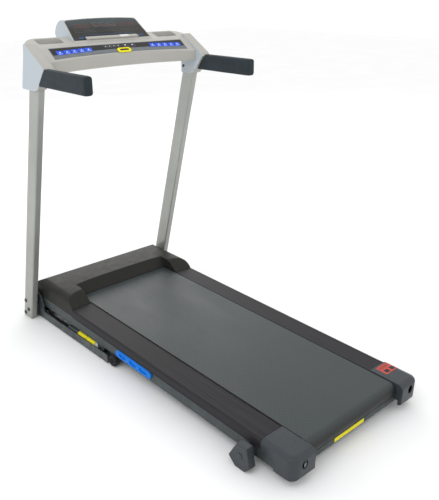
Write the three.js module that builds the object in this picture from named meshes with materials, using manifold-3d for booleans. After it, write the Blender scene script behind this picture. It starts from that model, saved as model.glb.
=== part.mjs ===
// Folding motor treadmill: welded base, leaning uprights with a console, and a deck that folds up.
// Units are millimetres. +Z is up, +Y points to the console end, +X is the user's right.
// Inside the scene graph, Y is measured from the rear face of the deck's end caps; the root group
// then moves the origin to the middle of the footprint, on the floor.

import * as THREE from 'three';
import { mergeVertices } from 'three/addons/utils/BufferGeometryUtils.js';
import Module from 'manifold-3d';

const wasm = await Module();
wasm.setup();

// ---------------------------------------------------------------- driving dimensions

const LENGTH = 1460;
const GAP = 0.3;

// Deck, in its own frame: Y along the running surface, Z square to it.
const DECK_SLOPE = Math.atan(0.0235);
const DECK_TURN_Z = 62;
const BELT_HALF = 210;
const BELT_THICK = 2;
const ROLLER_R = 25;
const AXLE_R = 8;
const ROLLER_Z = 71;
const REAR_ROLLER_Y = 50;
const FRONT_ROLLER_Y = 1238;
const MEMBER_IN = 262;
const MEMBER_OUT = 296.7;
const MEMBER_LOW = 24.3;
const MEMBER_TOP = 63;
const MEMBER_REAR = 80;
const MEMBER_FRONT = 1434;
const CROSS_LOW = 49;
const CROSS_TOP = 80.9;
const CROSS_Y = [160, 620, 1080];
const CROSS_DEPTH = 40;
const BOARD_TOP = ROLLER_Z + ROLLER_R;
const RAIL_IN = 214.5;
const RAIL_OUT = 300.9;
const RAIL_REAR = 127.4;
const RAIL_FRONT = 1135;
const ADJUSTER_X = 260;
const CAP_IN = 214;
const CAP_OUT = 305.5;
const CAP_DEPTH = 127;
const CAP_LOWER_DEPTH = 76;
const CAP_CORNER_R = 30;
const CAP_WALL = 3.4;
const REAR_PLATE_X = 240;
const PULLEY_X = [-240, -224];
const DRIVEN_PULLEY_R = 32;
const MOTOR_PULLEY_R = 15;
const MOTOR_Y = 1345;
const MOTOR_Z = 78;
const HOOD_HALF = 298;
const HOOD_WALL = 3.5;
const HOOD_FRONT = 1440;
const HOOD_SKIRT = MEMBER_TOP + 0.4;
const INLET_X = [120, 190];
const INLET_Z = [60, 86];

// Base, uprights and folding gear, in the standing frame.
const PIVOT = { y: 1410, z: 78, r: 8 };
const BASE_OUT = 309.6;
const BASE_LOW = 4.3;
const BASE_REAR = 890;
const BRACKET_IN = 303.6;
const WHEEL = { y: 866, z: 21.8, r: 21, in: 289.5, out: 308 };
const UPRIGHT_IN = 321.9;
const UPRIGHT_OUT = 348.4;
const UPRIGHT_DEPTH = 61.2;
const UPRIGHT_FOOT_Y = 1425.7;
const UPRIGHT_LEAN = Math.atan(0.2794);
const UPRIGHT_TOP = 1015;
const UPRIGHT_LOW = 3;
const UPRIGHT_BOLTS = [[1424, 76], [1408, 40], [1438, 17]];
const STRUT_X = -290;
const STRUT_DECK_PIN = { y: 955, z: 30 };
const STRUT_BASE_PIN = { y: 1352, z: 24 };
const STRUT_PIN_R = 4;
const FOOT = { y: 166, z: 46 };
const OUTBOARD_FOOT = [320, 346.5];
const INBOARD_FOOT = [306, 318];

// Console and handlebars, in the standing frame.
const STRIP_TILT = Math.atan(0.7221);
const STRIP_FRONT = { y: 1107.3, z: 1050.2 };
const CONSOLE_KNEE = { y: 1156, z: 1085.4 };
const CONSOLE_BACK = { y: 1238, z: 1114 };
const CONSOLE_OUT = 356;
const WING_IN = 317;
const GRIP = { in: 326.8, out: 357.8, low: 972, top: 1030.5, rear: 822.9 };
const BAR = { in: 333, out: 351, low: 980, top: 1023, rear: 838 };
const POD_HALF = 156;
const POD_FOOT_HALF = 166;
const POD_TILT = Math.atan(66.6 / 83.6);
const POD_FOOT = { y: 1182.9, z: 1097.6 };
const POD_FACE = 107;

// ---------------------------------------------------------------- materials

function material(color, roughness, metalness) {
  return new THREE.MeshStandardMaterial({ color, roughness, metalness });
}

const MATERIALS = {
  black_steel: material(0x1c1d1e, 0.5, 0.6),
  silver_paint: material(0xa7a9a4, 0.4, 0.5),
  console_plastic: material(0xc6c5bf, 0.5, 0),
  dark_plastic: material(0x45443f, 0.6, 0),
  rail_plastic: material(0x3a383c, 0.55, 0),
  cap_plastic: material(0x4a4f56, 0.45, 0),
  lens: material(0x232629, 0.15, 0),
  keypad: material(0x33363a, 0.35, 0),
  blue_plastic: material(0x0a6fd8, 0.4, 0),
  yellow_plastic: material(0xe8da20, 0.4, 0),
  foam: material(0x2f3a40, 0.95, 0),
  belt: material(0x565f61, 0.7, 0),
  rubber: material(0x18191a, 0.85, 0),
  board: material(0x7d6a4c, 0.7, 0),
  bright_steel: material(0xb9bcbd, 0.3, 0.9),
  circuit: material(0x1f5a35, 0.5, 0),
  motor_paint: material(0x2b2d30, 0.45, 0.4),
};

// ---------------------------------------------------------------- solids

function solidOf(geometry) {
  const bare = geometry.index ? geometry.clone() : geometry;
  bare.deleteAttribute('normal');
  bare.deleteAttribute('uv');
  const merged = mergeVertices(bare, 1e-4);
  return new wasm.Manifold(new wasm.Mesh({
    numProp: 3,
    vertProperties: new Float32Array(merged.attributes.position.array),
    triVerts: new Uint32Array(merged.index.array),
  }));
}

function geometryOf(solid) {
  const mesh = solid.getMesh();
  const geometry = new THREE.BufferGeometry();
  geometry.setAttribute('position', new THREE.BufferAttribute(mesh.vertProperties, 3));
  geometry.setIndex(new THREE.BufferAttribute(mesh.triVerts, 1));
  geometry.computeVertexNormals();
  return geometry;
}

function unite(solids) {
  return solids.reduce((sum, solid) => sum.add(solid));
}

function cutAway(solid, tools) {
  return tools.reduce((left, tool) => left.subtract(tool), solid);
}

function shapeOf(points, holes = []) {
  const shape = new THREE.Shape(points.map(([a, b]) => new THREE.Vector2(a, b)));
  for (const hole of holes) {
    shape.holes.push(new THREE.Path(hole.map(([a, b]) => new THREE.Vector2(a, b))));
  }
  return shape;
}

function extrude(points, holes, depth) {
  const options = { depth, bevelEnabled: false, steps: 1 };
  return new THREE.ExtrudeGeometry(shapeOf(points, holes), options);
}

// An outline of (y, z) points, running from x0 to x1.
function prismX(points, x0, x1, holes = []) {
  const geometry = extrude(points, holes, x1 - x0);
  const turn = new THREE.Matrix4().makeBasis(
    new THREE.Vector3(0, 1, 0), new THREE.Vector3(0, 0, 1), new THREE.Vector3(1, 0, 0));
  geometry.applyMatrix4(turn).translate(x0, 0, 0);
  return solidOf(geometry);
}

// An outline of (x, z) points, running from y0 to y1.
function prismY(points, y0, y1, holes = []) {
  const geometry = extrude(points, holes, y1 - y0);
  const turn = new THREE.Matrix4().makeBasis(
    new THREE.Vector3(1, 0, 0), new THREE.Vector3(0, 0, 1), new THREE.Vector3(0, -1, 0));
  geometry.applyMatrix4(turn).translate(0, y1, 0);
  return solidOf(geometry);
}

// An outline of (x, y) points, running from z0 to z1.
function prismZ(points, z0, z1, holes = []) {
  const geometry = extrude(points, holes, z1 - z0);
  geometry.translate(0, 0, z0);
  return solidOf(geometry);
}

function box(x0, x1, y0, y1, z0, z1) {
  const geometry = new THREE.BoxGeometry(x1 - x0, y1 - y0, z1 - z0);
  geometry.translate((x0 + x1) / 2, (y0 + y1) / 2, (z0 + z1) / 2);
  return solidOf(geometry);
}

// A turned piece on an axis along X through (y, z); the profile holds (x, radius) points.
function turnedX(profile, y, z, segments = 24) {
  const points = profile.map(([x, radius]) => new THREE.Vector2(radius, x));
  const geometry = new THREE.LatheGeometry(points, segments);
  geometry.rotateZ(-Math.PI / 2).translate(0, y, z);
  return solidOf(geometry);
}

function rodX(x0, x1, radius, y, z, segments = 20) {
  return turnedX([[x0, 0], [x0, radius], [x1, radius], [x1, 0]], y, z, segments);
}

// A turned piece on an axis along Y through (x, z); the profile holds (y, radius) points.
function turnedY(profile, x, z, segments = 20) {
  const points = profile.map(([y, radius]) => new THREE.Vector2(radius, y));
  const geometry = new THREE.LatheGeometry(points, segments);
  geometry.translate(x, 0, z);
  return solidOf(geometry);
}

function rodY(y0, y1, radius, x, z, segments = 16) {
  return turnedY([[y0, 0], [y0, radius], [y1, radius], [y1, 0]], x, z, segments);
}

function rectangle(a0, a1, b0, b1) {
  return [[a0, b0], [a1, b0], [a1, b1], [a0, b1]];
}

function roundedRectangle(a0, a1, b0, b1, radius, steps = 4) {
  const corners = [[a1 - radius, b0 + radius, -90], [a1 - radius, b1 - radius, 0],
    [a0 + radius, b1 - radius, 90], [a0 + radius, b0 + radius, 180]];
  return corners.flatMap(([a, b, start]) => arc(a, b, radius, start, start + 90, steps));
}

function arc(a, b, radius, from, to, steps) {
  const points = [];
  for (let i = 0; i <= steps; i += 1) {
    const angle = THREE.MathUtils.degToRad(from + (to - from) * i / steps);
    points.push([a + radius * Math.cos(angle), b + radius * Math.sin(angle)]);
  }
  return points;
}

// The outline of a loop round two wheels in the (y, z) plane.
function loopOutline(first, second, offset, steps = 12) {
  const dy = second.y - first.y;
  const dz = second.z - first.z;
  const heading = THREE.MathUtils.radToDeg(Math.atan2(dz, dy));
  const lean = THREE.MathUtils.radToDeg(Math.asin((first.r - second.r) / Math.hypot(dy, dz)));
  const side = 90 - lean;
  const front = arc(second.y, second.z, second.r + offset, heading - side, heading + side, steps);
  const rear = arc(first.y, first.z, first.r + offset, heading + side, heading + 360 - side, steps);
  return front.concat(rear);
}

// ---------------------------------------------------------------- placing

const treadmill = new THREE.Group();
const standing = new THREE.Group();
const deck = new THREE.Group();
treadmill.add(standing, deck);
treadmill.position.y = -LENGTH / 2;
deck.rotation.x = DECK_SLOPE;
deck.position.y = DECK_TURN_Z * Math.sin(DECK_SLOPE);
deck.position.z = DECK_TURN_Z * (1 - Math.cos(DECK_SLOPE));

function place(name, solid, slot, parent = standing) {
  const mesh = new THREE.Mesh(geometryOf(solid), MATERIALS[slot]);
  mesh.name = name;
  parent.add(mesh);
  return mesh;
}

// Makes NAME_right from the solid as built and NAME_left as its mirror image.
function placePair(name, solid, slot, parent = standing) {
  place(`${name}_right`, solid, slot, parent);
  place(`${name}_left`, solid, slot, parent).scale.x = -1;
}

function mirrored(solid) {
  return solid.mirror([1, 0, 0]);
}

// A point of the standing frame, in the deck's own frame.
function inDeck({ y, z }) {
  const point = deck.worldToLocal(new THREE.Vector3(0, y - LENGTH / 2, z));
  return { y: point.y, z: point.z };
}

// ---------------------------------------------------------------- base

// One side of the base: an open angle section, the wheel ear and the deck's hinge plate.
function baseSide() {
  const flange = 4;
  const rail = prismY([[270, BASE_LOW], [BASE_OUT, BASE_LOW], [BASE_OUT, 36], [BASE_OUT - flange, 36],
    [BASE_OUT - flange, BASE_LOW + flange], [270, BASE_LOW + flange]], BASE_REAR, LENGTH);
  const ear = prismX([[846, 14], [852, 8], [930, 8], [930, 14], [902, 36], [850, 38]], 284, 288);
  const earFoot = box(270, 288, 884, 930, BASE_LOW, BASE_LOW + flange);
  const hinge = prismX([[1352, 8], [1352, 64], [1374, 104], [1392, 114], [1428, 114], [1442, 102],
    [1454, 60], [1454, 8]], BRACKET_IN, BASE_OUT);
  const wheelHole = rodX(280, 292, 5.3, WHEEL.y, WHEEL.z);
  const pivotHole = rodX(300, 315, PIVOT.r + GAP, PIVOT.y, PIVOT.z);
  return cutAway(unite([rail, ear, earFoot, hinge]), [wheelHole, pivotHole]);
}

function strutBaseBracket() {
  const outline = [[1336, 8], [1368, 8], [1366, 30], [1358, 36], [1346, 36], [1338, 30]];
  const ears = [4.5, -7.5].map((x) => prismX(outline, STRUT_X + x, STRUT_X + x + 3));
  const hole = rodX(STRUT_X - 12, STRUT_X + 12, STRUT_PIN_R + GAP, STRUT_BASE_PIN.y, STRUT_BASE_PIN.z);
  return ears.map((ear) => ear.subtract(hole));
}

function baseFrame() {
  const side = baseSide();
  const frontTube = box(-306, 306, 1412, 1450, BASE_LOW, 34);
  const frontHollow = box(-300, 300, 1415, 1447, 0, 31);
  const rearBar = box(-306, 306, 930, 980, BASE_LOW, 10.3);
  const tubes = frontTube.subtract(frontHollow).add(rearBar);
  return unite([side, mirrored(side), tubes, ...strutBaseBracket()]);
}

function floorPad(y0, y1) {
  return prismZ(roundedRectangle(272, 307, y0, y1, 6, 3), 0, BASE_LOW - GAP);
}

function transportWheel() {
  const { y, z, r, in: x0, out: x1 } = WHEEL;
  return turnedX([[x0, 5.4], [x0, r - 3], [x0 + 3, r], [x1 - 3, r], [x1, r - 3], [x1, 5.4], [x0, 5.4]],
    y, z, 28);
}

function wheelBolt() {
  const profile = [[279.5, 0], [279.5, 8], [283.6, 8], [283.6, 5], [308.4, 5], [308.4, 8.5],
    [312, 7], [312, 0]];
  return turnedX(profile, WHEEL.y, WHEEL.z, 16);
}

// ---------------------------------------------------------------- uprights

// Turns a solid built upright about the upright's foot, so that it leans over the deck.
function leaning(solid) {
  const degrees = THREE.MathUtils.radToDeg(UPRIGHT_LEAN);
  return solid.rotate([degrees, 0, 0]).translate([0, UPRIGHT_FOOT_Y, 0]);
}

function uprightCore(grow, top) {
  const half = UPRIGHT_DEPTH / 2 + grow;
  const outline = roundedRectangle(UPRIGHT_IN - grow, UPRIGHT_OUT + grow, -half, half, 5, 3);
  return leaning(prismZ(outline, -60, top / Math.cos(UPRIGHT_LEAN)));
}

function upright() {
  const wall = 2.2;
  const hollow = leaning(prismZ(rectangle(UPRIGHT_IN + wall, UPRIGHT_OUT - wall,
    wall - UPRIGHT_DEPTH / 2, UPRIGHT_DEPTH / 2 - wall), -80, UPRIGHT_TOP + 80));
  const floor = box(300, 370, 1300, 1600, -200, UPRIGHT_LOW);
  const holes = UPRIGHT_BOLTS.map(([y, z]) => rodX(315, 355, 4 + GAP, y, z, 12));
  return cutAway(uprightCore(0, UPRIGHT_TOP), [hollow, floor, ...holes]);
}

// The nut block between base and upright, with the three bolts that run out through the tube.
function uprightBolts() {
  const outline = [[1398, 6], [1450, 6], [1440, 60], [1436, 94], [1402, 94], [1388, 60]];
  const block = prismX(outline, BASE_OUT + GAP, UPRIGHT_IN - GAP);
  const bolts = UPRIGHT_BOLTS.map(([y, z]) => turnedX([[312, 0], [312, 4], [UPRIGHT_OUT + GAP, 4],
    [UPRIGHT_OUT + GAP, 7.5], [352, 6.5], [353, 4], [353, 0]], y, z, 12));
  return unite([block, ...bolts]);
}

function hingePin() {
  const profile = [[254, 0], [254, 13], [260, 13], [260, PIVOT.r], [309.3, PIVOT.r], [309.3, 0]];
  return turnedX(profile, PIVOT.y, PIVOT.z);
}

// ---------------------------------------------------------------- deck frame

function sideMember() {
  const wall = 2.5;
  const tube = prismY(rectangle(MEMBER_IN, MEMBER_OUT, MEMBER_LOW, MEMBER_TOP), MEMBER_REAR,
    MEMBER_FRONT, [rectangle(MEMBER_IN + wall, MEMBER_OUT - wall, MEMBER_LOW + wall, MEMBER_TOP - wall)]);
  const pivot = inDeck(PIVOT);
  const foot = inDeck(FOOT);
  const pivotHole = rodX(250, 310, PIVOT.r + GAP, pivot.y, pivot.z);
  const footHole = rodX(250, 310, 6 + GAP, foot.y, foot.z);
  return cutAway(tube, [pivotHole, footHole]);
}

// Two plates and a flange that hold one end of the rear axle and its adjuster bolt.
function rearAxleBracket() {
  const plate = prismX([[18, 22], [70, 22], [150, 50], [150, 62], [110, 86], [18, 86]],
    REAR_PLATE_X, REAR_PLATE_X + 5);
  const flange = box(REAR_PLATE_X, 294, 18, 22, 50, 88);
  const slot = box(REAR_PLATE_X - 5, REAR_PLATE_X + 10, REAR_ROLLER_Y - 14, REAR_ROLLER_Y + 14,
    ROLLER_Z - AXLE_R - GAP, ROLLER_Z + AXLE_R + GAP);
  const boltHole = rodY(10, 30, 4.4, ADJUSTER_X, ROLLER_Z);
  return cutAway(unite([plate, flange]), [slot, boltHole]);
}

function frontAxleBracket() {
  const plate = prismX([[1205, 30], [1275, 30], [1262, 86], [1216, 86]], 256, MEMBER_IN + 0.5);
  const hole = rodX(250, 270, AXLE_R + GAP, FRONT_ROLLER_Y, ROLLER_Z);
  return plate.subtract(hole);
}

// A cross channel, open underneath.
function crossChannel(y0, y1, low, top, half) {
  const wall = 3;
  const outer = box(-half, half, y0, y1, low, top);
  return outer.subtract(box(-half - 1, half + 1, y0 + wall, y1 - wall, low - 1, top - wall));
}

function strutDeckBracket() {
  const pin = inDeck(STRUT_DECK_PIN);
  const outline = [[pin.y - 18, 26], [pin.y - 11, pin.z - 11], [pin.y + 11, pin.z - 11],
    [pin.y + 18, 26]];
  const hole = rodX(STRUT_X - 12, STRUT_X + 12, STRUT_PIN_R + GAP, pin.y, pin.z);
  return [4.5, -7.5].map((x) => prismX(outline, STRUT_X + x, STRUT_X + x + 3).subtract(hole));
}

function deckFrame() {
  const side = unite([sideMember(), rearAxleBracket(), frontAxleBracket()]);
  const half = MEMBER_IN + 0.5;
  const crosses = CROSS_Y.map((y) => crossChannel(y - CROSS_DEPTH / 2, y + CROSS_DEPTH / 2,
    CROSS_LOW, CROSS_TOP, half));
  const rearAngle = box(-245, 245, 36, 66, 22, 41).subtract(box(-235, 235, 39, 70, 20, 38));
  const pivot = inDeck(PIVOT);
  const pinRoom = rodX(248, 264, 15, pivot.y, pivot.z);
  const frontChannel = cutAway(crossChannel(1404, MEMBER_FRONT, 30, 56, half),
    [pinRoom, mirrored(pinRoom)]);
  const motorPlate = box(-half, half, 1292, 1398, 28, 31);
  return unite([side, mirrored(side), ...crosses, rearAngle, frontChannel, motorPlate,
    ...strutDeckBracket()]);
}

// ---------------------------------------------------------------- running gear

function runningBoard() {
  return prismX(roundedRectangle(84, 1204, BOARD_TOP - 14.8, BOARD_TOP, 3, 2), -212.5, 212.5);
}

function runningBelt() {
  const rear = { y: REAR_ROLLER_Y, z: ROLLER_Z, r: ROLLER_R };
  const front = { y: FRONT_ROLLER_Y, z: ROLLER_Z, r: ROLLER_R };
  const inner = loopOutline(rear, front, GAP);
  return prismX(loopOutline(rear, front, GAP + BELT_THICK), -BELT_HALF, BELT_HALF, [inner]);
}

function rearRoller() {
  const profile = [[-212, AXLE_R + GAP], [-212, 22], [-209, ROLLER_R], [209, ROLLER_R], [212, 22],
    [212, AXLE_R + GAP], [-212, AXLE_R + GAP]];
  return turnedX(profile, REAR_ROLLER_Y, ROLLER_Z, 28);
}

function frontRoller() {
  const [x0, x1] = PULLEY_X;
  const profile = [[x0, AXLE_R + GAP], [x0, DRIVEN_PULLEY_R], [x1, DRIVEN_PULLEY_R], [x1, 18],
    [-212, 18], [-212, 22], [-209, ROLLER_R], [209, ROLLER_R], [212, 22], [212, AXLE_R + GAP],
    [x0, AXLE_R + GAP]];
  return turnedX(profile, FRONT_ROLLER_Y, ROLLER_Z, 28);
}

function rearAxle() {
  const axle = rodX(-272, 272, AXLE_R, REAR_ROLLER_Y, ROLLER_Z);
  const holes = [-ADJUSTER_X, ADJUSTER_X].map((x) => rodY(30, 70, 4 + GAP, x, ROLLER_Z));
  return cutAway(axle, holes);
}

function frontAxle() {
  return rodX(-261.5, 261.5, AXLE_R, FRONT_ROLLER_Y, ROLLER_Z);
}

function rollerAdjuster() {
  const profile = [[9, 0], [9, 7.5], [17.6, 7.5], [17.6, 4], [74, 4], [76, 3], [76, 0]];
  return turnedY(profile, ADJUSTER_X, ROLLER_Z, 12);
}

function driveMotor() {
  const can = turnedX([[-185, 0], [-185, 40], [-180, 46], [-52, 46], [-46, 38], [-46, 0]],
    MOTOR_Y, MOTOR_Z, 28);
  const cradles = [-170, -80].map((x) => prismX([[1308, 31.3], [1382, 31.3], [1374, 52],
    [1316, 52]], x, x + 20));
  const bearing = rodX(-190, -160, 7.5, MOTOR_Y, MOTOR_Z);
  return unite([can, ...cradles]).subtract(bearing);
}

function motorFlywheel() {
  const [x0, x1] = PULLEY_X;
  const profile = [[x0, 0], [x0, MOTOR_PULLEY_R], [x1, MOTOR_PULLEY_R], [x1, 10], [-206, 10],
    [-206, 42], [-192, 42], [-192, 7], [-164, 7], [-164, 0]];
  return turnedX(profile, MOTOR_Y, MOTOR_Z, 28);
}

function driveBelt() {
  const driven = { y: FRONT_ROLLER_Y, z: ROLLER_Z, r: DRIVEN_PULLEY_R };
  const driver = { y: MOTOR_Y, z: MOTOR_Z, r: MOTOR_PULLEY_R };
  const inner = loopOutline(driven, driver, GAP, 14);
  return prismX(loopOutline(driven, driver, GAP + 3, 14), PULLEY_X[0] + 1, PULLEY_X[1] - 1, [inner]);
}

// A box of electronics with cooling fins along its back.
function motorController() {
  const outline = [[1300, 31.3], [1390, 31.3], [1390, 44]];
  for (let y = 1386; y > 1340; y -= 8) {
    outline.push([y, 44], [y, 66], [y - 3, 66], [y - 3, 44]);
  }
  outline.push([1338, 44], [1338, 58], [1300, 58]);
  return prismX(outline, 20, 220);
}

// ---------------------------------------------------------------- covers on the deck

// The hood in side view, pulled in by an inset for the inside face.
function hoodProfile(inset, low) {
  const rear = 1137 + inset;
  const front = HOOD_FRONT - inset;
  return [[rear, low], [rear, 95 - inset / 2], [1141 + inset, 101 - inset / 2],
    [1168 + inset / 2, 123 - inset], [1182, 132.5 - inset], [1196, 138.5 - inset],
    [1215, 141.5 - inset], [1250, 142.5 - inset], [1320, 140.5 - inset], [1375, 134 - inset],
    [1408 - inset / 2, 120 - inset], [1430 - inset, 100 - inset / 2], [front, 84], [front, low]];
}

// The hood in front view: crowned on top, with rounded shoulders.
function hoodSection(inset, low) {
  const out = HOOD_HALF - inset;
  const right = [[out, low], [out, 112], [out - 5, 126 - inset], [out - 20, 134 - inset],
    [out - 60, 138 - inset], [out - 150, 141.5 - inset]];
  const left = right.map(([x, z]) => [-x, z]).reverse();
  return right.concat([[0, 143 - inset]], left);
}

// The space over the belt that the hood wraps round, with its sloping rear wall.
function beltWell(grow) {
  const outline = [[1100, 60], [1213 + grow, 60], [1213 + grow, 101], [1250 + grow, 150], [1100, 150]];
  return prismX(outline, -RAIL_IN - grow, RAIL_IN + grow);
}

function motorHood() {
  const outside = prismX(hoodProfile(0, HOOD_SKIRT), -HOOD_HALF, HOOD_HALF);
  const body = outside.intersect(prismY(hoodSection(0, HOOD_SKIRT), 1100, 1450));
  const nose = box(-292, 292, 1437, HOOD_FRONT, 27, 80);
  const inside = prismX(hoodProfile(HOOD_WALL, 20), -HOOD_HALF, HOOD_HALF);
  const hollow = inside.intersect(prismY(hoodSection(HOOD_WALL, 20), 1100, 1460));
  const cavity = hollow.subtract(beltWell(HOOD_WALL).subtract(box(-300, 300, 1000, 1500, 0, 99)));
  const underWell = box(-RAIL_IN - HOOD_WALL - 1, RAIL_IN + HOOD_WALL + 1, 1130, 1300, 20, 99);
  const window = box(INLET_X[0] - GAP, INLET_X[1] + GAP, 1400, 1460, INLET_Z[0] - GAP, INLET_Z[1] + GAP);
  const shell = cutAway(body.subtract(beltWell(0)), [cavity, underWell]);
  return shell.add(nose).subtract(window);
}

function bellyPan() {
  const tray = box(-261, 261, 1284, 1436, 24.5, 27.7);
  return tray.add(box(-261, 261, 1284, 1287, 24.5, 40));
}

// The foot rail's section: top skin, outer skirt and an inner rib that stands on the frame.
function footRail() {
  const outline = [[RAIL_OUT, HOOD_SKIRT], [RAIL_OUT, 89], [299.5, 92.5], [296, 94.8],
    [280, 95.8], [240, 96.8], [217, 97], [RAIL_IN, 95.8], [RAIL_IN, 93.4], [263, 92.8],
    [263, HOOD_SKIRT], [267, HOOD_SKIRT], [267, 92.4], [290, 91.4], [295.6, 89.6],
    [297.4, 86], [297.4, HOOD_SKIRT]];
  return prismY(outline, RAIL_REAR, RAIL_FRONT);
}

function capSide(inset) {
  return [[inset, 32], [inset, 86 - inset], [4 + inset, 94 - inset], [11 + inset, 98.5 - inset],
    [20 + inset, 101 - inset], [CAP_DEPTH + 20, 101 - inset], [CAP_DEPTH + 20, 24.5 + inset],
    [14 + inset, 25 + inset], [5 + inset, 27.5 + inset]];
}

function capPlan(inset, x0) {
  const radius = CAP_CORNER_R - inset;
  const x1 = CAP_OUT - inset;
  const corner = arc(x1 - radius, radius + inset, radius, -90, 0, 6);
  return [[x0, inset], ...corner, [x1, CAP_DEPTH + 30], [x0, CAP_DEPTH + 30]];
}

// The cap across, with its outer shoulder rounded over to meet the foot rail's edge.
function capSection(inset) {
  const out = CAP_OUT - inset;
  return [[CAP_IN - 1, 20], [out, 20], [out, 88 - inset], [out - 1.5, 92.5 - inset],
    [out - 5, 96 - inset], [out - 11, 98.8 - inset], [284, 101 - inset], [CAP_IN - 1, 101 - inset]];
}

function capBlock(inset, x0, x1) {
  const side = prismX(capSide(inset), x0, x1);
  const plan = prismZ(capPlan(inset, CAP_IN), 0, 120);
  return side.intersect(plan).intersect(prismY(capSection(inset), -10, 200));
}

function rearCap() {
  const block = capBlock(0, CAP_IN, CAP_OUT);
  const front = box(200, 320, CAP_DEPTH, 200, 0, 120);
  const underFront = box(200, 320, CAP_LOWER_DEPTH, 200, 0, 62);
  const cavity = capBlock(CAP_WALL, CAP_IN + CAP_WALL, CAP_OUT);
  const frontOpen = box(CAP_IN + CAP_WALL, CAP_OUT - CAP_WALL, CAP_LOWER_DEPTH - 10, 200, 0, 80);
  const axleGate = box(205, 222, 34, 66, 58, 84);
  const frameGate = box(205, 250, 14, 160, 10, 45);
  const [x, z] = [ADJUSTER_X, ROLLER_Z];
  const toolHole = prismY(roundedRectangle(x - 10.5, x + 10.5, z - 14.5, z + 14.5, 10.4, 5), -10, 8);
  return cutAway(block, [front, underFront, cavity, frontOpen, axleGate, frameGate, toolHole]);
}

// ---------------------------------------------------------------- deck feet, inserts and strut

// A foot whose flats stand at different distances from its bolt, between two planes across it.
function rearFoot([inner, outer]) {
  const around = [[47.5, -20.5], [14, 38], [-25, 38], [-38, -25], [-18, -46], [20, -46]];
  const outline = around.map(([y, z]) => [FOOT.y + y, FOOT.z + z]);
  return prismX(outline, inner, outer).subtract(rodX(290, 360, 6.4, FOOT.y, FOOT.z));
}

function footBolt([inner, outer]) {
  const profile = [[258, 0], [258, 6], [MEMBER_OUT + GAP, 6], [MEMBER_OUT + GAP, 15],
    [inner - 0.4, 15], [inner - 0.4, 6], [outer + 0.4, 6], [outer + 0.4, 10],
    [outer + 2.9, 8.5], [outer + 2.9, 0]];
  return turnedX(profile, FOOT.y, FOOT.z);
}

function sideInsert() {
  const outline = [[636, 46], [646, 33], [832, 33], [844, 39], [844, 50], [828, 62.7], [652, 62.7],
    [638, 56]];
  const slots = [682, 741, 800].map((y) => roundedRectangle(y - 20, y + 20, 41, 54, 6, 3));
  return prismX(outline, MEMBER_OUT + GAP, 303.5, slots);
}

function strutPin() {
  const profile = [[-12, 0], [-12, 7], [-8, 7], [-8, STRUT_PIN_R], [8, STRUT_PIN_R], [8, 7], [12, 7],
    [12, 0]].map(([x, r]) => [STRUT_X + x, r]);
  return turnedX(profile, STRUT_DECK_PIN.y, STRUT_DECK_PIN.z, 16);
}

// The strut is built along Y from the deck pin at the origin of its own group.
const strut = new THREE.Group();
const STRUT_RUN = STRUT_BASE_PIN.y - STRUT_DECK_PIN.y;
const STRUT_DROP = STRUT_BASE_PIN.z - STRUT_DECK_PIN.z;
const STRUT_LENGTH = Math.hypot(STRUT_RUN, STRUT_DROP);
strut.position.set(STRUT_X, STRUT_DECK_PIN.y, STRUT_DECK_PIN.z);
strut.rotation.x = Math.atan2(STRUT_DROP, STRUT_RUN);
standing.add(strut);

function strutEye(y) {
  const eye = rodX(-3.6, 3.6, 9, y, 0);
  return eye.subtract(rodX(-6, 6, STRUT_PIN_R + GAP, y, 0));
}

function strutCylinder() {
  const tube = turnedY([[17, 0], [17, 4], [22, 4], [26, 9], [30, 12], [225, 12], [225, 0]], 0, 0, 20);
  const neck = box(-3.6, 3.6, 7, 20, -4, 4);
  return unite([tube, neck, strutEye(0)]).subtract(rodY(104, 230, 5.4, 0, 0));
}

function strutRod() {
  const rod = rodY(108, STRUT_LENGTH - 22, 5, 0, 0);
  const neck = box(-3.6, 3.6, STRUT_LENGTH - 24, STRUT_LENGTH - 7, -4, 4);
  return unite([rod, neck, strutEye(STRUT_LENGTH)]);
}

// ---------------------------------------------------------------- power module

function powerInlet() {
  const [x0, x1] = INLET_X;
  const body = box(x0, x1, 1414, 1441.5, INLET_Z[0], INLET_Z[1]);
  const socket = box(x0 + 5, x0 + 31, 1424, 1450, 65, 81);
  const rockerBay = box(x0 + 39, x0 + 65, 1424, 1450, 63, 83);
  return cutAway(body, [socket, rockerBay]);
}

// The rocker stands in its off position, turned 8 degrees from level.
const rocker = new THREE.Group();
rocker.position.set(INLET_X[0] + 52, 1436, (INLET_Z[0] + INLET_Z[1]) / 2);
rocker.rotation.x = THREE.MathUtils.degToRad(-8);
deck.add(rocker);

function powerRocker() {
  return prismX([[-8, -3], [2, -8.6], [6.5, -8.2], [4, 0], [6.5, 8.2], [2, 8.6], [-8, 3]], -12, 12);
}

// ---------------------------------------------------------------- console

function stripHeight(y) {
  return STRIP_FRONT.z + Math.tan(STRIP_TILT) * (y - STRIP_FRONT.y);
}

// The console's edge on the user's side, in plan, which bows towards the user at its ends.
function userEdge(x, back = 0) {
  return 1114.6 + back - 15.4 * (x / 309) ** 2;
}

function consolePlan(inset, reach) {
  const front = [];
  for (let i = 0; i <= 12; i += 1) {
    const x = -reach + 2 * reach * i / 12;
    front.push([x, userEdge(x, inset)]);
  }
  const corner = [[CONSOLE_OUT - 6, 1176], [CONSOLE_OUT - 14, 1202], [326, 1222], [302, 1234]];
  const ends = corner.filter(([x]) => x < reach).map(([x, y]) => [x - inset / 2, y - inset]);
  const backRight = [[reach, (reach < 330 ? 1230 : 1150) - inset], ...ends, [270, 1240 - inset]];
  const backLeft = backRight.map(([x, y]) => [-x, y]).reverse();
  return front.concat(backRight, backLeft);
}

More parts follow.
